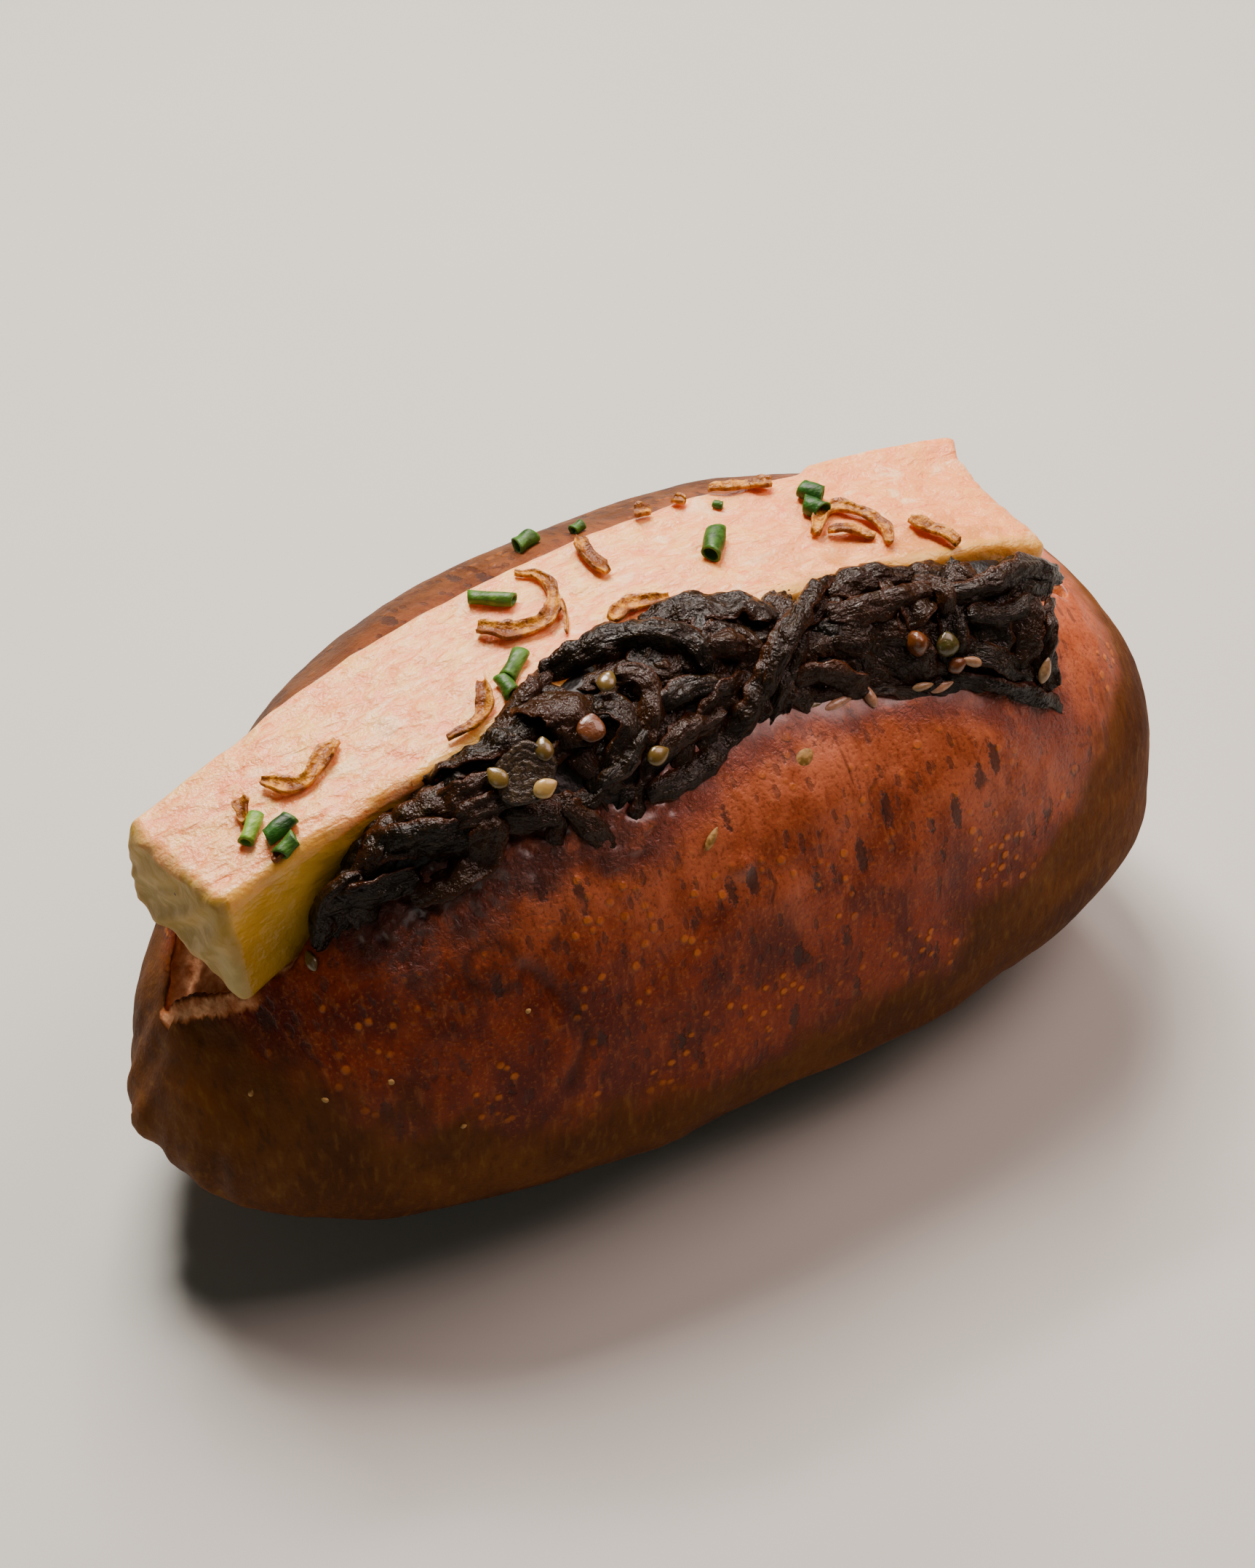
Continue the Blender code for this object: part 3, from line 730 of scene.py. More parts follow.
def crust_relief(point, wet):
    """How far the crust stands out of or sinks into the smooth roll."""
    height = 0.25 * MM * rough(point, 9 * MM, 1)
    height += 0.10 * MM * rough(point, 2.2 * MM, 5)
    left_end = step(-point.x, 55 * MM, 62 * MM)
    drawn = Vector((point.x, point.y, point.z * 0.22))
    height += left_end * (0.75 * MM * rough(drawn, 3.2 * MM, 3) - 0.3 * MM * abs(rough(drawn, 1.6 * MM, 4)))
    wrinkled = wet * step(-point.x, -2 * MM, 8 * MM)
    height += wrinkled * 1.3 * MM * (0.25 - abs(rough(point, 1.9 * MM, 6)))
    height -= 0.45 * MM * dab(from_crease(point), 0.9 * MM)
    for pit in PITS:
        height -= 0.5 * MM * dab((point - pit).length, 0.8 * MM)
    height += 0.7 * MM * dab((point - LUMP).length, 1.3 * MM)
    height += 0.5 * MM * hump(point.z, 13.5 * MM, 1.6 * MM) * hump(point.x, 24 * MM, 11 * MM)
    return height


def bake_bread(bread):
    """Give each point its depth, wetness, glaze and stain or painted shade, and move it for the relief."""
    marks = {"cut": [], "wet": [], "glaze": [], "stain_and_shade": []}
    normals = [vert.normal.copy() for vert in bread.data.vertices]
    for vert, normal in zip(bread.data.vertices, normals):
        point = vert.co.copy()
        depth = skin.find_nearest(point)[3]
        cutting = step(depth, 0.25 * MM, DEEP) if point.z > 1 * MM else 0.0
        cutting = max(cutting, torn(point))
        wet = wetness(point)
        pores = 0.5 * MM * abs(rough(point, 2.6 * MM, 8)) + 0.35 * MM * rough(point, 1.3 * MM, 9)
        height = crust_relief(point, wet) * (1 - cutting) - pores * cutting
        if point.z > 0.5 * MM:
            vert.co = point + normal * height * step(point.z, 0.5 * MM, 5 * MM)
        vert.co.z = max(vert.co.z, 0)
        for name, value in zip(marks, (cutting, wet, glazed(point), stain_and_shade_marks(point))):
            marks[name].append(value)
    for name, values in marks.items():
        store(bread, name, values)
    bread.data.transform(Matrix.Translation(SHIFT))


bake_bread(bun)
bun.name = "split_roll"
bpy.data.objects.remove(whole)

# %% [markdown]
# ## The crust's finish
# Egg wash bakes to a reddish chestnut on top and thins out to a dull gold towards the tray and the back; the
# colours also carry a painted sheen on top and painted shade lower down and at the back.
# Brushing and rising leave fine dark streaks that run around the roll, with small blisters where the wash
# bubbled. Near the filling the crust is dark and wet. All of it is noise pressed together along the roll, so
# that it looks the same from every side.

# %% Marks and noise of the bread
def bread_marks(look):
    """What the colours and the surface both read: the mesh's own marks, and the noise that they share."""
    m = {name: look.read(name) for name in ("cut", "wet", "glaze", "stain_and_shade")}
    along = look.axis(0)
    m["rear"] = look.axis(1).rise(1 * MM, 20 * MM)
    m["right"] = along.rise(20 * MM, 60 * MM)
    m["left"] = along.rise(-6 * MM, -20 * MM)
    m["cloud"] = look.grain(14 * MM, 4, bend=0.5)
    m["mottle"] = look.grain(6 * MM, 6, (1, 0.7, 0.7), 0.6)
    m["thread"] = look.grain(0.7 * MM, 4, (1, 0.3, 0.3))
    m["fine"] = look.grain(0.45 * MM, 3)
    m["pore"] = look.grain(1.4 * MM, 4)
    # Painted light: the top is painted lighter, partly as a painted sheen, and the side below it darker as
    # shade.
    m["top"] = (look.axis(2) + (m["cloud"] - 0.5) * (16 * MM) + along * 0.12).rise(37 * MM, 60 * MM)
    m["burnt"] = look.grain(3.0 * MM, 5, (1, 0.6, 0.6), 1.2).rise(0.60, 0.74) * m["glaze"]
    return m


def flecks(look, glaze):
    """Crisp dark flecks where the dough stretched, drawn out down the side."""
    away = (look.grain(0.6 * MM, 3) - 0.5) * 0.34
    some = look.grain(6 * MM, 2).rise(0.36, 0.52)
    large = (look.spots(3.2 * MM, (1, 0.34, 0.34)) + away).rise(0.27, 0.18) * some
    small = (look.spots(1.6 * MM, (1, 0.42, 0.42)) + away).rise(0.27, 0.18) * 0.6
    return large.maths("MAXIMUM", large, small) * (glaze * 0.8 + 0.12)


def blisters(look, fine):
    """Blisters of all sizes, in clusters."""
    cluster = look.grain(9 * MM, 2).rise(0.46, 0.62)
    size = look.grain(3 * MM, 1) * 0.30
    return (look.spots(1.9 * MM) - size + (fine - 0.5) * 0.2).rise(0.18, 0.0) * cluster

# %% [markdown]
# ## The bread's colours
# The colours are laid over each other where the mesh says that the bread is glazed, stained or shaded, wet or
# cut. The top is painted lighter, partly as a painted sheen, and the side, the lower crust and the back
# darker, as painted shade.

# %% Bread colours
def bare_gold_and_shade(m):
    """Below the egg wash: dull gold, painted darker as shade, with fine folds that run down."""
    return layered(
        m["cloud"].rise(0.3, 0.7).colour((0.068, 0.0175, 0.0008), (0.138, 0.042, 0.0025)),
        (m["thread"].rise(0.50, 0.78) * 0.45, (0.22, 0.10, 0.012)),
        (m["thread"].rise(0.45, 0.28) * 0.45, (0.032, 0.012, 0.0010)),
    )


def glaze_sheen_and_shade(m):
    """The glaze: red on the side, darkened there as painted shade, and salmon on top, lightened there partly
    as a painted sheen, with fine streaks and specks.
    """
    deep = m["mottle"].rise(0.36, 0.64).colour((0.100, 0.0080, 0.0006), (0.23, 0.028, 0.0015))
    light = m["mottle"].rise(0.36, 0.66).colour((0.34, 0.070, 0.019), (0.58, 0.160, 0.070))
    return layered(
        m["top"].colour(deep, light),
        (m["thread"].rise(0.50, 0.74) * 0.22, (0.55, 0.17, 0.045)),
        (m["thread"].rise(0.44, 0.28) * 0.35, (0.070, 0.013, 0.003)),
        (m["fine"].rise(0.56, 0.70) * 0.22, (0.58, 0.22, 0.06)),
        (m["fine"].rise(0.46, 0.32) * 0.40, (0.045, 0.0080, 0.0020)),
    )


def rear_gold_and_shade(m):
    """The back, where the glaze is thin: golden brown, painted darker as shade."""
    golden = (m["thread"] * 0.3 + m["mottle"] * 0.7).rise(0.35, 0.65)
    return golden.colour((0.038, 0.013, 0.0006), (0.090, 0.032, 0.0020))


def crumb_colour(m):
    """The cut bread: a browner edge under the skin, then pale and pinkish with pores."""
    crumb = m["pore"].rise(0.3, 0.7).colour((0.46, 0.15, 0.055), (0.80, 0.40, 0.20))
    return m["cut"].rise(0.3, 1.0).colour((0.40, 0.12, 0.03), crumb)


def bread_colour(look, m, fleck, blister):
    """Crust and crumb together, with sauce that crept over the lip: dark at the left, pink further right."""
    sauce = m["wet"].rise(0.1, 0.7) * look.grain(4 * MM, 3).rise(0.22, 0.50)
    sauce_tint = m["left"].colour((0.22, 0.050, 0.030), (0.060, 0.0170, 0.0120))
    return layered(
        # The bare crust and the glaze's side carry painted shade, the glaze's top a painted sheen.
        m["glaze"].colour(bare_gold_and_shade(m), glaze_sheen_and_shade(m)),
        # Painted shade: the back is golden and painted darker.
        (m["rear"] * 0.9, rear_gold_and_shade(m)),
        (m["burnt"] * 0.6, (0.034, 0.0050, 0.0012)),
        (fleck * 0.85, (0.036, 0.016, 0.012)),
        # The ring is a stain; the fold and the pits are darkened as painted shade.
        (m["stain_and_shade"] * 0.75, (0.034, 0.0060, 0.0020)),
        (blister * (0.75 - m["rear"] * 0.55), (0.55, 0.15, 0.010)),
        (sauce * 0.9, sauce_tint),
        (m["cut"].rise(0.0, 0.5), crumb_colour(m)),
    )

# %% [markdown]
# ## The bread's surface
# The glaze is smooth and coated on top and at the front, duller at the back and the right end, and wettest
# beside the heap. The same noise drives colour and relief, so a dark fleck is also a small dent.

# %% Bread surface
def bread_relief(look, m, fleck, blister):
    """Fine height of the crust, the crumb's pores and the wrinkles of the wet lip."""
    skin_grain = look.grain(1.5 * MM, 3, (1, 0.5, 0.5))
    wrinkles = m["wet"] * look.grain(0.9 * MM, 4, bend=1.5)
    relief = m["thread"] * 0.3 + m["fine"] * 0.5 + skin_grain * 0.4
    relief = relief + blister * 0.9 - fleck * 0.6 - m["burnt"] * 0.3
    return relief + m["pore"] * m["cut"] * 1.6 + wrinkles * 3.4


def bread_paint(look):
    """Crust and crumb, from what the mesh says of each place."""
    m = bread_marks(look)
    glaze, top, rear, right, wet = (m[name] for name in ("glaze", "top", "rear", "right", "wet"))
    fleck, blister = flecks(look, glaze), blisters(look, m["fine"]) * glaze
    dull = 0.74 - glaze * (0.28 + top * 0.12) + (m["fine"] - 0.5) * 0.4
    dull = dull - wet * 0.32 + rear * 0.2 + right * 0.12
    pool = (wet * look.grain(3.5 * MM, 2)).rise(0.38, 0.48)
    coat = glaze * 0.6 * top * (1 - rear) * (1 - right * 0.5) + wet * 0.3 + pool * 0.6
    return {
        "Base Color": bread_colour(look, m, fleck, blister),
        "Roughness": m["cut"].rise(0.1, 0.9) * 0.3 + dull,
        "Coat Weight": coat * (1 - m["cut"].rise(0.0, 0.5)),
        "Normal": look.bump(0.20 * MM, bread_relief(look, m, fleck, blister)),
    }

# %% [markdown]
# ## Finishing a piece
# A finished piece gets its material and smooth shading, rides on the one body, and hides the imported solids
# that it stands for.

# %% Finish the bread
def settle(piece, slot, material, *nodes):
    """Finish a piece: its material, smooth shading, body, and hiding the solids that it stands for. The slot
    is not used.
    """
    piece.data.materials.clear()
    piece.data.materials.append(material)
    piece.data.shade_smooth()
    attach(piece, "root")
    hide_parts(*nodes)
    triangles = sum(len(face.vertices) - 2 for face in piece.data.polygons)
    print(f"{piece.name}: {triangles} triangles, {max(piece.dimensions) / MM:.1f} mm long")


bread_finish = finish("glazed_bread", bread_paint, Coat_Roughness=0.30, Specular_IOR_Level=0.18)
settle(bun, "bun", bread_finish, "bun")

# %% [markdown]
# ## The bar of shrimp cake
# Steamed shrimp paste is cut into a block: its top shows a wet, stringy grain with pink bits of shrimp, while
# its sides keep a smooth yellow skin. The block is built straight and fine, its top and ends are roughened,
# and it is bent over the roll last. Each point keeps how far down and how far forward it lies in the block,
# because the skin's colour follows the block and not the world.

# %% Bar shape
def bar_relief(point, along, side, down):
    """Movement of a point of the straight block: torn grain on top, dents in the skin, steps and chips."""
    top = 1 - step(down, 0.02, 0.14)
    grain = Vector((point.x * 0.45 + point.y * 0.25, point.y, point.z))
    point.z += top * (0.26 * MM * rough(grain, 1.3 * MM, 1) + 0.28 * MM * rough(point, 5 * MM, 2))
    point.y += (1 - top) * 0.45 * MM * rough(point, 7 * MM, 3)
    end = step(abs(along), 0.93, 1.0)
    point.x += end * (0.7 * MM * rough(Vector((0, point.y + point.z, point.z * 0.4)), 3 * MM, 4))
    # The back edge has two steps where the blade was turned.
    point.y -= step(side, 0.5, 1) * 1.0 * MM * (step(along, 0.42, 0.45) - step(along, 0.62, 0.66))
    point.z += step(side, 0.4, 1) * top * 0.9 * MM * step(along, 0.55, 0.95)
    return point


def make_bar():
    """The bar with its relief, bent over the roll. Each point keeps where it lay in the straight block."""
    bar = block("shrimp_cake", 0.42 * MM)
    tops, fronts, alongs = [], [], []
    for vert in bar.data.vertices:
        point = vert.co.copy()
        along, side = point.x / (BAR_LENGTH / 2), point.y / (BAR_WIDTH / 2)
        down = 0.5 - point.z / BAR_DEPTH
        tops.append(down)
        fronts.append(side)
        alongs.append(along)
        vert.co = bar_bend(bar_relief(point, along, side, down))
    store(bar, "down", tops)
    store(bar, "side", fronts)
    store(bar, "along", alongs)
    return bar


cake = make_bar()
cake_skin = BVHTree.FromObject(cake, bpy.context.evaluated_depsgraph_get())
cake.data.transform(Matrix.Translation(SHIFT))


def bar_place(along, side, lift):
    """A place over the bar's real top."""
    spot = bar_bend(Vector((along * BAR_LENGTH / 2, side * BAR_WIDTH / 2, BAR_DEPTH / 2)))
    return cake_skin.find_nearest(spot)[0] + bar_frame(along)[2] * lift

# %% [markdown]
# ## The bar's material
# The flesh is peach and cream with pink and coral bits, more orange to the right, and braising liquid ran
# onto it beside the heap. The skin is amber and glassy. A little light goes into both.

# %% Bar material
def flesh_colour(look, side, along, grain):
    """The cut top: peach and cream, with milky and coral bits."""
    wash = look.grain(4.5 * MM, 4, bend=0.8)
    milky = look.grain(3.2 * MM, 3, (0.6, 1, 1), 0.5).rise(0.58, 0.70)
    coral = look.grain(2.4 * MM, 3, (0.6, 1, 1), 1.0).rise(0.63, 0.71) * along.rise(-0.8, 0.4)
    liquid = side.rise(0.1, -0.85) * wash.rise(0.42, 0.62) * along.rise(-0.1, 0.6)
    return layered(
        grain.rise(0.34, 0.66).colour((0.90, 0.32, 0.100), (0.97, 0.53, 0.21)),
        (wash.rise(0.52, 0.68) * 0.6, (0.95, 0.30, 0.14)),
        (wash.rise(0.48, 0.34) * 0.6, (0.95, 0.56, 0.15)),
        (along.rise(-0.1, 0.8) * 0.6, (0.97, 0.33, 0.10)),
        (milky * 0.6, (0.97, 0.70, 0.40)),
        (coral * 0.75, (0.88, 0.20, 0.08)),
        (liquid * 0.8, (0.60, 0.24, 0.035)),
    )


def cake_skin_colour(look, down, side, left_end, cloud):
    """The skin: amber yellow, browner further down, olive with paler patches at the left end."""
    pale_end = left_end * look.grain(4 * MM, 3, bend=1.0).rise(0.40, 0.62)
    foot = left_end * side.rise(-0.55, -0.85) * down.rise(0.45, 0.7)
    return layered(
        cloud.rise(0.3, 0.7).colour((0.56, 0.30, 0.020), (0.72, 0.43, 0.060)),
        (down.rise(0.15, 0.7) * 0.85, (0.38, 0.22, 0.016)),
        (left_end * 0.7, (0.26, 0.17, 0.016)),
        (pale_end * 0.6, (0.52, 0.34, 0.12)),
        (foot * 0.6, (0.44, 0.35, 0.13)),
    )


def cake_paint(look):
    """Flesh on top, skin on the sides, a dark speck here and there, and a wet surface."""
    down, side, along = look.read("down"), look.read("side"), look.read("along")
    grain = look.grain(1.0 * MM, 5, (0.45, 1, 1), 0.8)
    cloud = look.grain(11 * MM, 3)
    left_end = along.rise(-0.97, -0.995)
    flesh = flesh_colour(look, side, along, grain)
    skin_tone = cake_skin_colour(look, down, side, left_end, cloud)
    edge = side.rise(-0.78, -0.95) * 0.8 + left_end
    skinned = down.rise(0.05, 0.14).maths("MAXIMUM", down.rise(0.05, 0.14), edge * cloud.rise(0.2, 0.5))
    skinned = skinned.maths("MAXIMUM", skinned, left_end * down.rise(0.02, 0.10))
    speck = look.spots(6 * MM).rise(0.045, 0.02)
    colour = layered(flesh, (skinned, skin_tone), (speck, (0.10, 0.03, 0.01)))
    wet = look.grain(2.2 * MM, 3)
    fine = look.grain(0.4 * MM, 3)
    return {
        "Base Color": colour,
        "Roughness": 0.08 + wet * 0.24 + left_end * 0.45,
        "Normal": look.bump(0.40 * MM, (grain + fine * 0.4) * (1 - skinned * 0.7) + wet * 0.9),
    }


cake_finish = finish(
    "shrimp_paste", cake_paint, Subsurface_Weight=0.25, Subsurface_Scale=0.004,
    Subsurface_Radius=(1.0, 0.45, 0.2), Specular_IOR_Level=0.42,
)
settle(cake, "shrimp_bar", cake_finish, "shrimp_bar")

# %% [markdown]
# ## Fried shallot
# A fried ring of shallot shrinks to a thin curled trough with thick rims, brown at its edges and amber where
# it is thin. Each one is a small loft: a U-shaped section carried along a curling path on the bar's top.

# %% Shallot places
SHALLOTS = (  # places along the bar and to its side, then its two end widths in mm
    (((-0.77, 0.14), (-0.742, -0.15), (-0.704, -0.23), (-0.659, -0.11), (-0.605, -0.02)), (2.0, 2.5)),
    (((-0.822, 0.10), (-0.848, -0.20)), (2.4, 1.6)),
    (((-0.845, -0.90), (-0.865, -0.99)), (1.6, 1.2)),
    (((-0.300, -0.42), (-0.333, -0.71), (-0.376, -0.85), (-0.440, -0.80)), (2.6, 1.1)),
    (((-0.22, 0.30), (-0.171, 0.03), (-0.10, -0.03), (-0.051, 0.15), (-0.031, 0.43), (-0.036, 0.65),
      (-0.07, 0.82)), (3.2, 1.2)),
    (((-0.040, 0.10), (-0.055, -0.10), (-0.079, -0.29)), (0.8, 0.5)),
    (((0.098, 0.90), (0.084, 0.71), (0.084, 0.48), (0.090, 0.22)), (1.8, 2.4)),
    (((0.010, -0.46), (0.071, -0.37), (0.12, -0.43), (0.155, -0.46)), (2.8, 2.0)),
    (((0.235, 0.97), (0.268, 0.88)), (2.8, 1.8)),
    (((0.33, 1.0), (0.345, 0.84)), (1.7, 1.2)),
    (((0.415, 0.98), (0.48, 0.84), (0.540, 0.72)), (1.6, 2.6)),
    (((0.540, -0.26), (0.59, 0.0), (0.635, 0.06), (0.669, -0.16), (0.689, -0.46),
      (0.672, -0.70)), (2.6, 1.7)),
    (((0.570, -0.28), (0.62, -0.38), (0.655, -0.55)), (1.4, 2.2)),
    (((0.755, -0.38), (0.79, -0.66), (0.815, -0.93)), (1.8, 2.9)),
)

# %% [markdown]
# ## Curls on a path
# A smooth curve through a few places gives each curl its path, and later each strip of the relish. The curl's
# section tips and swells along it, and its ends are pinched.

# %% Curls
def curve_through(knots, pitch):
    """Points at an even pitch on a smooth curve through the knots, and the curve's length."""
    knots = [2 * knots[0] - knots[1]] + list(knots) + [2 * knots[-1] - knots[-2]]
    fine = []
    for a, b, c, d in zip(knots, knots[1:], knots[2:], knots[3:]):
        for number in range(12):
            t = number / 12
            fine.append(0.5 * (2 * b + (c - a) * t + (2 * a - 5 * b + 4 * c - d) * t * t
                               + (3 * b - a - 3 * c + d) * t ** 3))
    fine.append(knots[-2])
    runs = [0.0]
    for one, two in zip(fine, fine[1:]):
        runs.append(runs[-1] + (two - one).length)
    stations = max(8, round(runs[-1] / pitch))
    path = []
    for station in range(stations + 1):
        run = runs[-1] * station / stations
        path.append(Vector([float(np.interp(run, runs, [p[i] for p in fine])) for i in range(len(fine[0]))]))
    return path, runs[-1]


def trough(middle, side, up, width, thick, cup):
    """A closed U-shaped ring of points: the outside of the trough, then its inside."""
    outside, inside = [], []
    for number in range(7):
        t = number / 3 - 1
        rise = cup * t * t
        rim = 1 + 0.5 * abs(t) ** 3
        outside.append(middle + side * width / 2 * t + up * (rise - thick / 2))
        inside.append(middle + side * width / 2 * t * 0.9 + up * (rise + thick / 2 * rim))
    return outside + inside[::-1]


def curl(draw, places, widths):
    """One shallot as rings along its curling path."""
    flat = [Vector((along * BAR_LENGTH / 2, side * BAR_WIDTH / 2)) for along, side in places]
    path, length = curve_through(flat, 0.35 * MM)
    phase = draw.uniform(0, 9)
    rings = []
    for number, place in enumerate(path):
        t = number / (len(path) - 1)
        run = t * length / MM
        heading = path[min(number + 1, len(path) - 1)] - path[max(number - 1, 0)]
        angle = math.atan2(heading.y, heading.x)
        here = place.x / (BAR_LENGTH / 2)
        ahead, across, _ = bar_frame(here)
        sideways = across * math.cos(angle) - ahead * math.sin(angle)
        forward = ahead * math.cos(angle) + across * math.sin(angle)
        sideways.rotate(Matrix.Rotation(0.7 * rough((run, phase, 3), 4.0), 3, forward))
        lift = 0.65 * MM + 0.5 * MM * rough((run, phase, 0), 3.5)
        middle = bar_place(here, place.y / (BAR_WIDTH / 2), lift)
        ends = 0.45 + 0.55 * min(1, 5 * min(t, 1 - t) + 0.1)
        swell = 1 + 0.45 * rough((run, 3, phase), 1.6)
        girth = (widths[0] + (widths[1] - widths[0]) * t) * MM * ends * swell
        crisp = 0.52 * MM + 0.16 * MM * rough((run, 7, phase), 0.9)
        upward = forward.cross(sideways)
        rings.append(trough(middle + SHIFT, sideways, upward, girth * 0.86, crisp, 0.17 * girth))
    return rings

# %% [markdown]
# ## The shallot's material
# Frying browned the curls in patches and along their veins, and left them amber between.

# %% Shallot
def shallot_paint(look):
    """Amber where thin, dark brown in patches and veins."""
    crisp = look.grain(1.0 * MM, 4)
    patch = look.grain(3.0 * MM, 2)
    vein = look.grain(0.4 * MM, 2)
    brown = crisp.rise(0.36, 0.64).colour((0.24, 0.072, 0.003), (0.60, 0.26, 0.018))
    brown = (patch.rise(0.46, 0.60) * 0.85).colour(brown, (0.115, 0.026, 0.003))
    brown = (vein.rise(0.42, 0.30) * 0.5).colour(brown, (0.10, 0.024, 0.004))
    relief = look.bump(0.35 * MM, crisp + vein * 0.5)
    return {"Base Color": brown, "Roughness": 0.26 + crisp * 0.3, "Normal": relief}


draw = random.Random(11)
fried = many_tubes("fried_shallot", [curl(draw, *row) for row in SHALLOTS])
settle(fried, "shrimp_bar", finish("fried_shallot", shallot_paint, Specular_IOR_Level=0.28), "shrimp_bar")

# %% [markdown]
# ## Chives
# Chives are hollow. Each cut piece is a short tube with a wall, its two ends cut a little askew, dark green
# outside with fine ribs along it and paler where it was cut. Two of them lie on the rear lip.

# %% Chive places and tubes
CHIVES = (  # the two ends, each along the bar and to its side, then the radius in mm and how pale it is
    ((-0.822, -0.22), (-0.875, -0.48), 0.90, 1.0), ((-0.785, -0.60), (-0.845, -0.64), 1.10, 0.0),
    ((-0.806, -0.87), (-0.850, -0.93), 0.95, 0.1), ((-0.185, 0.76), (-0.117, 0.42), 0.90, 0.3),
    ((-0.190, -0.30), (-0.255, -0.53), 1.00, 0.2), ((-0.262, -0.50), (-0.270, -0.76), 1.00, 0.1),
    ((0.348, 0.19), (0.298, -0.13), 1.25, 0.1), ((0.400, 0.70), (0.414, 0.62), 0.55, 0.1),
    ((0.585, 0.48), (0.615, 0.26), 1.30, 0.0), ((0.565, 0.22), (0.590, 0.00), 1.25, 0.0),
)
LIP_CHIVES = ((0, 18, 2.6, 1.1), (6.5, 16.6, 1.6, 0.7))  # x, y, length and radius in mm
CHIVE_WALL = 0.32 * MM
CHIVE_AROUND, CHIVE_ROWS = 24, 9


def hollow(middle, ahead, up, length, radius, skew):
    """Points and faces of a tube with a wall and open ends, and which points lie at a cut."""
    side = up.cross(ahead)
    last = CHIVE_ROWS - 1
    points, cuts = [], []
    for reach in (radius, radius - CHIVE_WALL):
        for row in range(CHIVE_ROWS):
            t = row / last - 0.5
            for i in range(CHIVE_AROUND):
                angle = math.tau * i / CHIVE_AROUND
                out = side * math.cos(angle) + up * math.sin(angle) * 0.86
                dent = 1 + 0.06 * math.sin(row * 0.9 + skew * 5) + 0.05 * math.sin(3 * angle + row * 0.5)
                lean = skew * 0.35 * radius * math.cos(angle) * 2 * t
                points.append(middle + ahead * (t * length + lean) + out * reach * dent)
                cuts.append(1.0 if row in (0, last) or reach < radius else 0.0)
    outside = [(row, row + 1) for row in range(last)]
    inside = [(CHIVE_ROWS + one, CHIVE_ROWS + two) for one, two in outside]
    ends = [(row, CHIVE_ROWS + row) for row in (0, last)]
    faces = []
    for one, two in outside + inside + ends:
        faces += band(one * CHIVE_AROUND, two * CHIVE_AROUND, CHIVE_AROUND)
    return points, faces, cuts

# %% [markdown]
# ## Laying the chives
# Each one lies on what is under it, and all of them share one object.

# %% Chives
def chive_places():
    """Middle, direction, up, length, radius and paleness of each chive: on the bar, then on the rear lip."""
    spots = []
    for one, two, radius, tone in CHIVES:
        start, end = (bar_place(along, side, radius * 0.85 * MM) for along, side in (one, two))
        forward = (end - start).normalized()
        up = bar_frame(one[0])[2]
        up = (up - forward * up.dot(forward)).normalized()
        spots.append(((start + end) / 2, forward, up, (end - start).length, radius * MM, tone))
    for x, y, length, radius in LIP_CHIVES:
        lip = Vector((x * MM, y * MM, crust_height(x * MM, y * MM) + 0.8 * radius * MM))
        forward = Vector((0.9, y / 60, 0)).normalized()
        spots.append((lip, forward, Vector((0, 0, 1)), length * MM, radius * MM, 0.1))
    return spots


def chive_tubes():
    """All the chives as one object, which keeps what is a cut and how pale each one is."""
    points, faces, cuts, tones = [], [], [], []
    for number, (middle, forward, up, length, radius, tone) in enumerate(chive_places()):
        some, few, ends = hollow(middle + SHIFT, forward, up, length, radius, math.sin(number * 2.3))
        faces += [tuple(len(points) + i for i in face) for face in few]
        points += some
        cuts += ends
        tones += [tone] * len(some)
    made = mesh_object("cut_chives", points, faces)
    store(made, "cut", cuts)
    store(made, "pale", tones)
    return made


def chive_paint(look):
    """Dark green with fine ribs, lighter in pale pieces and at the cuts."""
    tint = look.grain(2.0 * MM, 3)
    rib = look.grain(0.35 * MM, 3, (0.4, 1, 1))
    dark = tint.rise(0.36, 0.66).colour((0.0050, 0.035, 0.0015), (0.016, 0.095, 0.0050))
    light = tint.rise(0.36, 0.66).colour((0.10, 0.24, 0.012), (0.24, 0.42, 0.040))
    green = look.read("pale").colour(dark, light)
    green = (rib.rise(0.5, 0.7) * 0.4).colour(green, (0.050, 0.17, 0.012))
    green = (look.read("cut") * 0.55).colour(green, (0.070, 0.20, 0.020))
    return {"Base Color": green, "Roughness": 0.30 + rib * 0.3, "Normal": look.bump(0.10 * MM, rib)}


chives = chive_tubes()
settle(chives, "shrimp_bar", finish("chive", chive_paint, Specular_IOR_Level=0.35), "shrimp_bar", "bun")

# %% [markdown]
# ## The relish
# The heap is soft braised strips, dark and wet, mostly along the roll, folded and wrinkled where they dried
# against each other. A core fills the split under them. On it lies a layer of strips at random, then the big
# ones that give the heap its outline, each carried along a path of a few places on the heap.

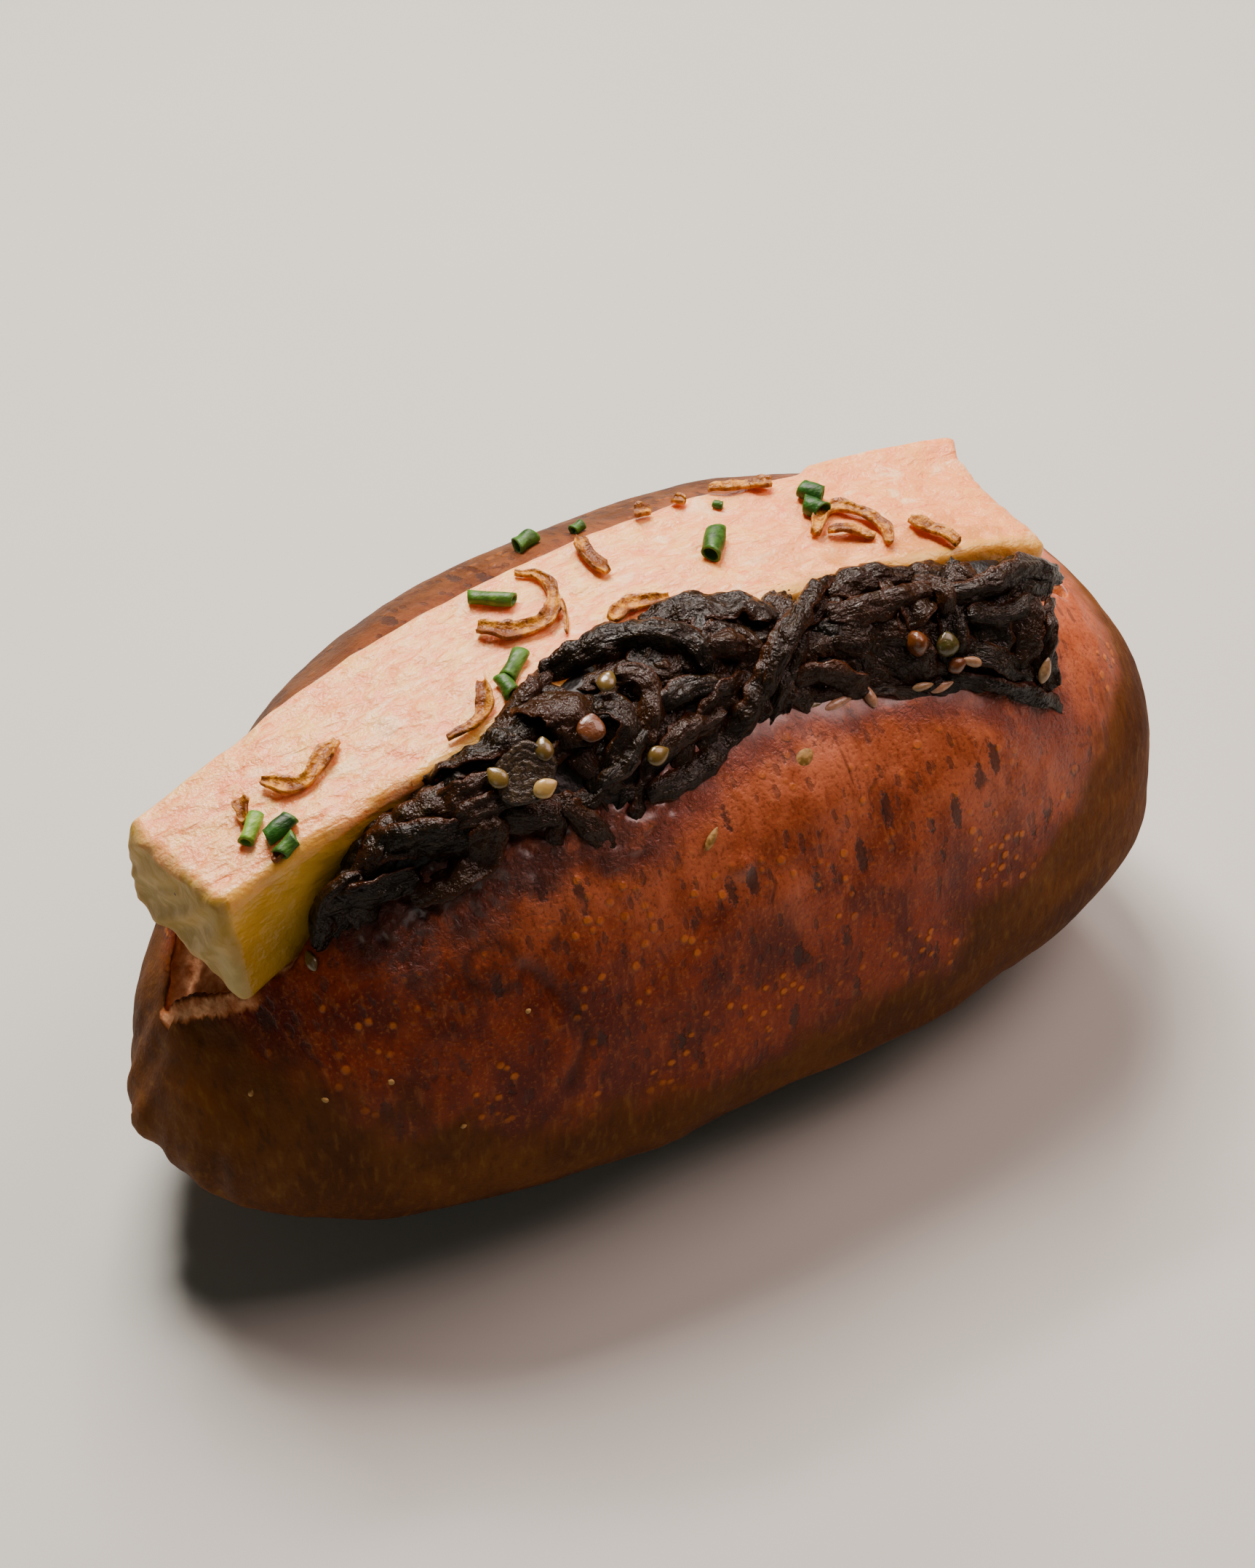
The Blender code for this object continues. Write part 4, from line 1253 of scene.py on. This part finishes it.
# %% Core of the heap
def heap_core():
    """A rounded body that fills the split up to a little under the heap's surface."""
    rings = []
    stations, across_steps = 90, 26
    for station in range(stations + 1):
        along = RELISH_START + (RELISH_END - RELISH_START) * (0.01 + 0.93 * station / stations)
        ring = []
        for number in range(across_steps + 1):
            across = -0.86 + 1.86 * number / across_steps
            place = relish_place(along, across)
            place.z += (0.9 * MM * rough(place, 3.2 * MM, 1) - 0.8 * MM) * (1 - across ** 2)
            ring.append(place)
        floor_here = min(bar_line(along).z - BAR_DEPTH + 0.5 * MM, ring[0].z - 2 * MM, ring[-1].z - 4 * MM)
        wall = max(ring[-1].y, bar_front(along) + 0.6 * MM)
        foot = bar_front(along) - 0.4 * MM
        ring.append(Vector((place.x, wall, ring[-1].z - 1.5 * MM)))
        ring.append(Vector((place.x, foot + 0.5 * MM, floor_here)))
        ring.append(Vector((place.x, foot, floor_here)))
        rings.append([point + SHIFT for point in ring])
    return loft("relish_core", rings)

# %% [markdown]
# ## Paths on the heap
# A strip's path is given as places on the heap with a height over it, and turned into a smooth curve that
# knows which way the heap faces. Near the bar the heap's surface climbs onto the bar's top.

# %% Paths on the heap
def heap_bed(along, across):
    """A place on the heap, or on the bar's top for a strip that reaches over it."""
    place = relish_place(along, across)
    over = step(place.y, bar_front(along) - 0.5 * MM, bar_front(along) + 1.5 * MM)
    place.z += over * max(bar_line(along).z + 0.5 * MM - place.z, 0)
    return place


def heap_normal(along, across):
    """Which way the heap faces."""
    one = heap_bed(along + 0.01, across) - heap_bed(along - 0.01, across)
    two = heap_bed(along, across + 0.05) - heap_bed(along, across - 0.05)
    return one.cross(two).normalized()


def heap_path(places, pitch):
    """A path through places on the heap (along, across, lift in mm), with the heap's normal at each point."""
    knots = []
    for along, across, lift in places:
        normal = heap_normal(along, across)
        knots.append(Vector((*(heap_bed(along, across) + normal * lift * MM), *(normal * MM))))
    path, length = curve_through(knots, pitch)
    return [(Vector(point[:3]), Vector(point[3:]).normalized()) for point in path], length


def wandering(draw, along, across, heading, length, bend, lift):
    """Places for a strip that wanders over the heap from a middle, a heading and a bend in radians."""
    places = []
    inner, outer = relish_span(min(max(along, -0.8), 0.95))
    for number in range(5):
        t = number / 4 - 0.5
        angle = heading + bend * t
        here_along = along + t * length * math.cos(angle) / (BAR_LENGTH / 2)
        here_across = across + t * length * math.sin(angle) / ((outer - inner) / 2)
        here_along = min(max(here_along, RELISH_START + 0.02), RELISH_END - 0.02)
        here_across = min(max(here_across, -1.02), 1.0)
        places.append((here_along, here_across, lift + draw.uniform(-0.5, 0.6)))
    return places

# %% [markdown]
# ## One strip
# A strip is a loft: a thin cupped section with wrinkles that run along it and a ragged rim. Each point keeps
# its run along the strip, its place across and the strip's own tone for the finish.

# %% Strips
STRIP_POINTS = 12  # points across one face of a strip
STRIP_PITCH = 0.55 * MM
STRIP_THICK = 0.42 * MM  # half of it, in the middle
STRIP_CUP, STRIP_BLUNT = 0.36, 0.5  # how far its sides hang, and how wide its ends stay


def crumple(run, across, seed):
    """Height of a strip's wrinkles at a place on it in mm: folds along it, folds over it, and a slow wave."""
    ridge = 0.32 * (0.5 - 2 * abs(rough((run * 0.30, across * 1.1, seed), 1.0)))
    fold = 0.55 * rough((run * 0.7, across * 0.7, seed + 5), 1.0)
    wave = 0.70 * rough((run, across, seed + 9), 3.5)
    return (ridge + fold + wave) * MM


def strip_ring(spot, side, up, half, width, thin, bow_by, run, seed, tone):
    """One section of a strip, over its face and back under it, and what each point keeps."""
    upper, lower, marks = [], [], []
    for k in range(STRIP_POINTS):
        c = 2 * k / (STRIP_POINTS - 1) - 1
        fray = 1 + 0.30 * rough((run / MM, c * 2, seed), 1.2) * abs(c)
        wrinkle = crumple(run / MM, c * width / 2, seed)
        bow = -STRIP_CUP * half * c * c * bow_by
        place = spot + side * half * c * fray + up * (wrinkle + bow)
        thick = STRIP_THICK * (1 - 0.7 * c ** 4) * thin
        upper.append(place + up * thick + SHIFT)
        lower.append(place - up * thick + SHIFT)
        marks.append((run, c, tone))
    return upper + lower[::-1], marks + marks[::-1]


def strip(draw, places, width, tilt):
    """Rings of one wrinkled strip, and for each point its run, its place across and the strip's tone."""
    path, length = heap_path(places, STRIP_PITCH)
    seed, tone = draw.uniform(0, 50), draw.random()
    rings, marks = [], []
    for number, (spot, normal) in enumerate(path):
        t = number / (len(path) - 1)
        ahead = (path[min(number + 1, len(path) - 1)][0] - path[max(number - 1, 0)][0]).normalized()
        side = normal.cross(ahead).normalized()
        side.rotate(Matrix.Rotation(tilt + 0.4 * math.sin(seed + t * 3), 3, ahead))
        up = ahead.cross(side).normalized()
        half = width * MM / 2 * (STRIP_BLUNT + (1 - STRIP_BLUNT) * math.sin(math.pi * t) ** 0.5)
        thin = math.sin(math.pi * min(min(t, 1 - t) * 4, 0.5)) * 0.5 + 0.5
        bow_by = 1 + 1.1 * math.sin(seed * 3 + t * 3.5)
        ring, some = strip_ring(spot, side, up, half, width, thin, bow_by, t * length, seed, tone)
        rings.append(ring)
        marks.append(some)
    return rings, marks


def strips_object(name, strips):
    """One object out of many strips, with their marks."""
    made = many_tubes(name, [rings for rings, _ in strips])
    marks = [mark for _, one in strips for ring in one for mark in ring]
    assert len(marks) == len(made.data.vertices), "a strip's points were merged"
    for number, word in enumerate(("run", "across", "tone")):
        store(made, word, [mark[number] for mark in marks])
    return made

# %% [markdown]
# ## The strips that show most
# Each row is one strip: its places (along, across, lift in mm), its width in mm and its tilt in radians.

# %% Big strips
BIG_STRIPS = (
    # the left clump: a leaf, its curled tip, the lobe that folds back under it, and a dark knot below
    (((-0.69, 0.60, 0.9), (-0.64, -0.20, 1.2), (-0.57, -0.50, 1.4), (-0.50, -0.72, 1.2),
      (-0.44, -0.75, 0.9)), 4.8, 0.1),
    (((-0.72, 1.10, 0.5), (-0.69, 0.75, 1.0), (-0.66, 0.30, 1.3)), 1.4, 0.3),
    (((-0.44, -0.55, 1.2), (-0.46, -0.85, 1.8), (-0.50, -1.10, 1.8), (-0.55, -1.25, 1.3),
      (-0.62, -1.20, 0.8)), 4.8, 0.0),
    (((-0.80, -0.35, 0.3), (-0.765, -0.05, 1.1), (-0.73, -0.50, 1.3), (-0.67, -0.85, 1.2),
      (-0.60, -0.92, 0.8)), 4.0, 0.0),
    (((-0.79, -0.05, 0.4), (-0.745, -0.10, 2.0), (-0.69, -0.35, 1.2)), 3.0, 0.2),
    # along the bar, left of the middle
    (((-0.52, 1.20, 0.5), (-0.47, 0.70, 1.3), (-0.39, 0.45, 1.6), (-0.31, 0.40, 1.6),
      (-0.25, 0.50, 1.2)), 4.6, 0.1),
    (((-0.55, -0.05, 1.0), (-0.48, -0.15, 1.5), (-0.42, -0.20, 1.5), (-0.37, -0.35, 1.0)), 3.4, 0.2),
    (((-0.51, -0.45, 1.2), (-0.45, -0.50, 1.8), (-0.38, -0.55, 1.3)), 3.2, 0.0),
    (((-0.28, 0.80, 1.2), (-0.23, 0.45, 2.0), (-0.21, 0.10, 2.2), (-0.23, -0.25, 1.5)), 6.8, 0.0),
    (((-0.36, 0.95, 0.3), (-0.30, 0.90, 1.1), (-0.22, 1.00, 1.2), (-0.16, 1.10, 0.8)), 3.4, 0.3),
    # the arch that stands against the bar, with what curls out from under it
    (((-0.19, 1.15, 0.5), (-0.15, 1.00, 1.2), (-0.09, 0.72, 1.8), (-0.03, 0.52, 2.1), (0.03, 0.28, 2.2),
      (0.09, 0.00, 1.9), (0.10, -0.35, 1.3)), 4.2, 0.7),
    (((-0.09, 0.20, 1.6), (-0.05, -0.05, 2.2), (-0.055, -0.35, 2.2), (-0.10, -0.60, 1.6)), 3.4, 0.2),
    (((-0.16, 0.10, 1.8), (-0.125, -0.15, 2.5), (-0.13, -0.40, 2.5), (-0.19, -0.58, 2.0)), 3.4, 0.0),
    (((-0.10, -0.46, 2.2), (-0.165, -0.58, 2.7), (-0.225, -0.68, 2.4)), 2.5, 0.0),
    (((0.04, 0.60, 0.8), (0.11, 0.68, 1.5), (0.19, 0.62, 1.6), (0.26, 0.50, 1.3),
      (0.29, 0.10, 1.0)), 5.0, 0.1),
    (((0.06, 0.85, 0.5), (0.15, 0.90, 1.3), (0.25, 0.75, 0.9)), 3.0, 0.5),
    (((0.12, -0.10, 1.6), (0.16, -0.20, 2.2), (0.20, -0.30, 1.6)), 3.2, 0.0),
    # the long strip that comes down to the lip and follows it
    (((0.36, 0.15, 1.2), (0.27, -0.40, 1.8), (0.21, -0.75, 1.8), (0.16, -0.92, 1.6), (0.10, -1.02, 1.4),
      (0.02, -1.02, 1.3), (-0.05, -0.98, 1.2), (-0.13, -0.92, 0.9)), 3.8, 0.0),
    (((0.33, -0.30, 0.9), (0.25, -0.75, 1.2), (0.18, -1.02, 0.9), (0.10, -1.14, 0.5)), 3.0, 0.2),
    (((-0.05, -0.38, 1.2), (0.02, -0.46, 1.8), (0.07, -0.52, 1.8), (0.13, -0.70, 1.2)), 3.4, 0.2),
    (((-0.09, -0.72, 1.0), (0.00, -0.76, 1.5), (0.09, -0.82, 1.1)), 3.2, 0.1),
    (((-0.30, -0.78, 0.9), (-0.255, -0.98, 1.2), (-0.225, -1.20, 0.5)), 3.6, 0.2),
    (((-0.31, -0.85, 0.7), (-0.325, -1.08, 0.8), (-0.345, -1.28, 0.2)), 3.2, -0.2),
    (((-0.42, -0.75, 0.8), (-0.36, -0.85, 1.2), (-0.30, -0.88, 0.8)), 3.6, 0.0),
    # right of the middle
    (((0.53, 0.90, 0.8), (0.44, 0.60, 1.5), (0.36, 0.15, 1.9), (0.295, -0.25, 2.2), (0.24, -0.56, 2.0),
      (0.19, -0.85, 1.4)), 2.9, 0.0),
    (((0.43, 0.45, 0.9), (0.51, 0.42, 1.5), (0.57, 0.42, 1.6), (0.63, 0.36, 1.0)), 4.4, 0.1),
    (((0.40, -0.10, 1.0), (0.48, -0.15, 1.6), (0.55, -0.10, 1.8), (0.64, -0.05, 1.2)), 3.6, 0.3),
    (((0.625, 0.30, 0.8), (0.66, -0.05, 1.7), (0.645, -0.38, 1.3)), 2.4, 0.0),
    (((0.64, -0.15, 1.3), (0.73, -0.12, 1.8), (0.80, 0.02, 2.0), (0.87, 0.20, 2.0),
      (0.98, 0.52, 1.7)), 3.6, 0.3),
    (((0.69, -0.40, 1.0), (0.77, -0.38, 1.5), (0.85, -0.22, 1.1)), 3.2, 0.2),
    (((0.85, -0.15, 1.0), (0.80, -0.60, 1.3), (0.775, -0.86, 0.9)), 4.6, 0.3),
    (((0.91, -0.08, 0.8), (0.865, -0.55, 1.3), (0.83, -0.90, 0.9)), 1.9, 0.2),
    (((0.66, -0.70, 0.9), (0.74, -0.82, 1.3), (0.81, -0.88, 0.9)), 3.2, 0.0),
    (((0.55, -1.18, 0.3), (0.60, -1.05, 0.9), (0.655, -0.98, 1.1), (0.74, -0.98, 1.1), (0.82, -1.00, 0.9),
      (0.90, -1.08, 0.2)), 2.9, 0.2),
    (((0.42, -1.06, 0.6), (0.50, -1.14, 0.7), (0.57, -1.18, 0.4)), 1.8, 0.0),
    (((0.27, -0.88, 0.9), (0.35, -0.88, 1.4), (0.43, -1.00, 0.9)), 3.8, 0.2),
    (((0.25, -1.00, 0.6), (0.34, -1.02, 0.9), (0.44, -1.08, 0.4)), 2.4, 0.0),
)

# %% [markdown]
# ## Strips at random and the round slice
# Smaller strips wander over the core under the big ones, spread evenly along the heap. A round slice of root
# lies tilted among them.

# %% Random strips and slice
SLICE_PLACE, SLICE_RADIUS, SLICE_LIFT = (-0.345, -0.30), 3.4 * MM, 2.4 * MM


def random_strips(draw, count):
    """Strips at random, one in each of many equal stretches of the heap."""
    made = []
    for number in range(count):
        along = RELISH_START + 0.08 + (RELISH_END - RELISH_START - 0.16) * (number + draw.random()) / count
        across = draw.uniform(-0.85, 0.85)
        length = draw.uniform(8, 17) * MM
        places = wandering(
            draw, along, across, draw.gauss(0.2, 0.6), length, draw.uniform(-1.2, 1.2),
            draw.uniform(-0.6, 0.4) * (1 - 0.5 * abs(across)),
        )
        made.append(strip(draw, places, draw.uniform(3.0, 5.4), draw.uniform(-0.3, 0.3)))
    return made


def round_slice():
    """A slice of root as rings from its middle out, over its rim and back under it."""
    normal = heap_normal(*SLICE_PLACE)
    normal = (normal + Vector((-0.25, -0.25, 0.2))).normalized()
    ahead = normal.cross(Vector((0, 1, 0))).normalized()
    side = normal.cross(ahead)
    middle = heap_bed(*SLICE_PLACE) + normal * SLICE_LIFT + SHIFT
    outline = [(0.03, 0.4)] + [(0.1 * n, 0.42) for n in range(1, 10)]
    outline += [(1.0, 0.30), (1.02, -0.1), (0.97, -0.45), (0.7, -0.55), (0.3, -0.55), (0.03, -0.55)]
    rings = []
    for out, rise in outline:
        ring = []
        for i in range(48):
            angle = math.tau * i / 48
            reach = SLICE_RADIUS * out * (1 + 0.07 * math.sin(2 * angle + 1) + 0.05 * math.sin(5 * angle))
            sag = 0.25 * MM * out * out * math.sin(2 * angle)
            sag += 0.12 * MM * math.sin(out * 22) * min(out * 3, 1)
            spot = ahead * math.cos(angle) * reach + side * math.sin(angle) * reach
            ring.append(middle + spot + normal * (rise * MM + sag))
        rings.append(ring)
    return rings

# %% [markdown]
# ## The relish's materials
# The strips are nearly black in the shade and brown or olive where they are thin. Fibres run along each one,
# and wetness gives them small glints.

# %% Relish materials
def relish_paint(look):
    """Near black to brown, with fibres along each strip and thin rims that let light in."""
    run, across, tone = look.read("run"), look.read("across"), look.read("tone")
    spot = look.node("CombineXYZ", None, {0: run * 0.28, 1: across * (2 * MM), 2: tone})
    fibre = look.node("TexNoise", None, {"Vector": spot, "Scale": 1 / (0.5 * MM), "Detail": 4})
    lump = look.grain(1.6 * MM, 4, bend=0.6)
    crinkle = look.grain(0.5 * MM, 3)
    rim = (across * across).rise(0.55, 1.0)
    deep = tone.colour((0.0050, 0.0034, 0.0010), (0.0240, 0.0080, 0.0018))
    colour = (fibre.rise(0.50, 0.78) * 0.6).colour(deep, (0.040, 0.020, 0.0045))
    colour = (rim * 0.5).colour(colour, (0.060, 0.015, 0.0030))
    colour = (lump.rise(0.58, 0.75) * 0.35).colour(colour, (0.020, 0.020, 0.0050))
    return {
        "Base Color": colour,
        "Roughness": 0.08 + fibre * 0.26,
        "Normal": look.bump(0.34 * MM, fibre * 0.9 + lump * 0.9 + crinkle * 0.9),
    }


def gap_shade_paint(look):
    """Painted shade: near black, darker than the strips, so the gaps between them read as deep shadow."""
    lump = look.grain(1.6 * MM, 4)
    colour = lump.colour((0.002, 0.001, 0.0006), (0.006, 0.003, 0.0014))
    return {"Base Color": colour, "Roughness": 0.35 + lump * 0.2, "Normal": look.bump(0.4 * MM, lump)}


def slice_paint(look):
    """Brown root, streaked and rough."""
    fibre = look.grain(0.6 * MM, 4, bend=0.8)
    colour = fibre.rise(0.35, 0.7).colour((0.014, 0.0065, 0.0018), (0.052, 0.030, 0.0090))
    return {"Base Color": colour, "Roughness": 0.22 + fibre * 0.3, "Normal": look.bump(0.30 * MM, fibre)}

# %% [markdown]
# ## Making the heap
# The small random strips are drawn first, so that the big ones lie over them in one object.

# %% Heap
core = heap_core()
# The core is painted near black, as the shade in the gaps between the strips.
settle(core, "relish", finish("relish_core", gap_shade_paint, Specular_IOR_Level=0.3), "relish")
draw = random.Random(7)
small = random_strips(draw, 66)
shown = [strip(draw, *row) for row in BIG_STRIPS]
shreds = strips_object("braised_strips", small + shown)
settle(shreds, "relish", finish("braised_strips", relish_paint, Specular_IOR_Level=0.24), "relish")
root = loft("root_slice", round_slice())
settle(root, "relish", finish("root_slice", slice_paint, Specular_IOR_Level=0.4), "relish")
print("strips:", len(small) + len(shown))

# %% [markdown]
# ## Seeds and grains in the relish
# Sesame seeds are flat drops. In the wet relish they have soaked up its colour and turned amber or olive, and
# one stayed pale. A brown lump, a mustard seed and pale slivers lie with them.

# %% Seed places
SEEDS = (  # along, across, turn in degrees, how pale, lift in mm
    (-0.122, 0.13, 40, 0.25, 3.2), (-0.300, -0.16, 70, 0.12, 3.2), (-0.400, -0.22, 100, 0.45, 2.6),
    (-0.330, -0.55, 10, 0.9, 3.3), (-0.094, -0.71, 10, 0.35, 2.0),
)
GRAINS = (  # along, across, turn in degrees, length, width and thickness in mm, kind, lift in mm
    (-0.197, -0.16, 60, 3.4, 2.9, 0.9, 0.0, 2.6),  # a brown lump of shallot
    (0.558, -0.70, 0, 2.7, 2.7, 2.7, 0.3, 1.3),  # a mustard seed
    (0.625, -0.72, 80, 3.0, 2.6, 1.4, 0.6, 1.2), (0.634, -0.88, 20, 2.6, 1.6, 1.2, 0.1, 1.4),
    (0.595, -1.00, 20, 3.0, 1.0, 0.8, 1.0, 1.4), (0.552, -1.02, -20, 2.8, 0.9, 0.8, 0.9, 1.3),
    (0.672, -0.84, 120, 2.8, 1.1, 0.8, 0.95, 1.5), (0.828, -0.84, 80, 3.2, 1.3, 1.0, 0.9, 1.8),
    (0.350, -1.24, 5, 5.0, 1.1, 0.9, 1.0, 0.5), (0.430, -1.22, 95, 3.0, 1.2, 0.9, 1.0, 0.6),
    (0.300, -1.16, -10, 3.4, 0.9, 0.8, 0.7, 0.5), (-0.816, -0.80, 60, 2.6, 1.2, 0.8, 0.7, 0.3),
)

# %% [markdown]
# ## One seed
# A seed is a small loft: round sections that swell quickly and narrow to a tip, laid flat on the heap.

# %% Seeds
def drop(middle, ahead, up, length, width, thick, seed):
    """A seed: a flat drop with a narrow tip, as rings from end to end."""
    side = up.cross(ahead)
    rings = []
    for number in range(13):
        t = (1 - math.cos(math.pi * (number + 0.4) / 12.8)) / 2
        girth = (math.sin(math.pi * t) ** 0.6) * (1 - 0.35 * t)
        ring = []
        for i in range(16):
            angle = math.tau * i / 16
            bulge = 1 + 0.08 * rough((t * 3, angle, seed), 1.0)
            out = side * math.cos(angle) * width * girth * bulge * 0.7
            rise = up * math.sin(angle) * thick * girth * bulge * 0.7
            ring.append(middle + ahead * (t - 0.45) * length + out + rise)
        rings.append(ring)
    return rings


def scattered(name, rows, mark):
    """Drops lying on the heap. Each row: along, across, turn, three sizes in mm, a number to keep, lift."""
    tubes, marks = [], []
    for number, (along, across, turn, length, width, thick, tone, lift) in enumerate(rows):
        angle = math.radians(turn)
        ahead = Vector((math.cos(angle), math.sin(angle), 0))
        up = heap_normal(along, across)
        ahead = (ahead - up * ahead.dot(up)).normalized()
        middle = heap_bed(along, across) + up * lift * MM + SHIFT
        tubes.append(drop(middle, ahead, up, length * MM, width * MM, thick * MM, number))
        marks += [tone] * (len(tubes[-1]) * len(tubes[-1][0]))
    made = many_tubes(name, tubes)
    store(made, mark, marks)
    return made

# %% [markdown]
# ## The seeds' and grains' materials
# Each seed keeps how pale it is and each grain its kind, which their materials turn into a colour.

# %% Seed and grain materials
def sesame_paint(look):
    """From olive through amber to cream, by how pale each seed is."""
    grain = look.grain(0.9 * MM, 2)
    stops = (0.0, (0.040, 0.032, 0.004)), (0.5, (0.15, 0.10, 0.018)), (1.0, (0.55, 0.34, 0.10))
    tint = look.read("pale").ramp(*stops)
    colour = (grain * 0.35).colour(tint, (0.20, 0.07, 0.01))
    return {"Base Color": colour, "Roughness": 0.22 + grain * 0.15, "Normal": look.bump(0.05 * MM, grain)}


def grain_paint(look):
    """A colour for each kind of grain, with darker patches."""
    grain = look.grain(0.9 * MM, 3)
    tint = look.read("kind").ramp(
        (0.0, (0.105, 0.030, 0.006)), (0.3, (0.11, 0.030, 0.003)), (0.6, (0.050, 0.046, 0.005)),
        (0.85, (0.22, 0.15, 0.05)), (1.0, (0.42, 0.22, 0.12)),
    )
    colour = (grain.rise(0.4, 0.7) * 0.5).colour(tint, (0.10, 0.035, 0.008))
    return {"Base Color": colour, "Roughness": 0.22 + grain * 0.2, "Normal": look.bump(0.20 * MM, grain)}


seed_rows = [(along, across, turn, 2.9, 1.9, 1.0, pale, lift) for along, across, turn, pale, lift in SEEDS]
sesame = scattered("sesame_seeds", seed_rows, "pale")
settle(sesame, "relish", finish("sesame", sesame_paint, Coat_Weight=0.4, Subsurface_Weight=0.1), "relish")
grains = scattered("grains_and_slivers", GRAINS, "kind")
settle(grains, "relish", finish("grains", grain_paint, Coat_Weight=0.3), "relish")

# %% [markdown]
# ## Crumbs
# A pale flake and a curl of fried shallot fell on the crust below the heap, and a few tiny flakes stuck to
# its lower left.

# %% Crumbs
CRUMBS = (  # x, y, turn in degrees, then length, width and thickness in mm
    (10.7, -25.4, 25, 2.8, 1.7, 0.5), (-3.6, -28.2, 55, 3.0, 0.9, 0.7), (-44.5, -27.0, 80, 0.8, 0.6, 0.4),
    (-38.0, -31.0, 10, 0.8, 0.5, 0.4), (-51.0, -23.5, 120, 0.9, 0.5, 0.4), (-29.0, -30.6, 40, 0.7, 0.5, 0.4),
    (-57.0, -17.0, 30, 0.8, 0.6, 0.4),
)


def crust_normal(x, y):
    """Which way the crust faces, from its height at three places."""
    near = 0.5 * MM
    here = crust_height(x, y)
    rise_x, rise_y = crust_height(x + near, y) - here, crust_height(x, y + near) - here
    return Vector((-rise_x, -rise_y, near)).normalized()


def crumb_tubes():
    """Each crumb as a drop that lies on the crust, a little sunk."""
    tubes = []
    for number, (x, y, turn, length, width, thick) in enumerate(CRUMBS):
        up = crust_normal(x * MM, y * MM)
        ahead = Vector((math.cos(math.radians(turn)), math.sin(math.radians(turn)), 0))
        ahead = (ahead - up * ahead.dot(up)).normalized()
        middle = Vector((x * MM, y * MM, crust_height(x * MM, y * MM))) + up * 0.2 * MM
        tubes.append(drop(middle + SHIFT, ahead, up, length * MM, width * MM, thick * MM, number))
    return tubes


def crumb_paint(look):
    """Pale golden brown."""
    grain = look.grain(0.8 * MM, 3)
    tint = grain.rise(0.35, 0.65).colour((0.16, 0.085, 0.012), (0.42, 0.24, 0.070))
    return {"Base Color": tint, "Roughness": 0.35 + grain * 0.3, "Normal": look.bump(0.12 * MM, grain)}


crumbs = many_tubes("loose_crumbs", crumb_tubes())
settle(crumbs, "bun", finish("crumbs", crumb_paint, Specular_IOR_Level=0.3), "bun")

# %% [markdown]
# ## Size and close
# A box is given as plain lists of numbers. The visual model has to fill the imported model's box and no
# more.

# %% Boxes as lists
def corners(box):
    """A box as plain lists of numbers."""
    return [list(corner) for corner in box]
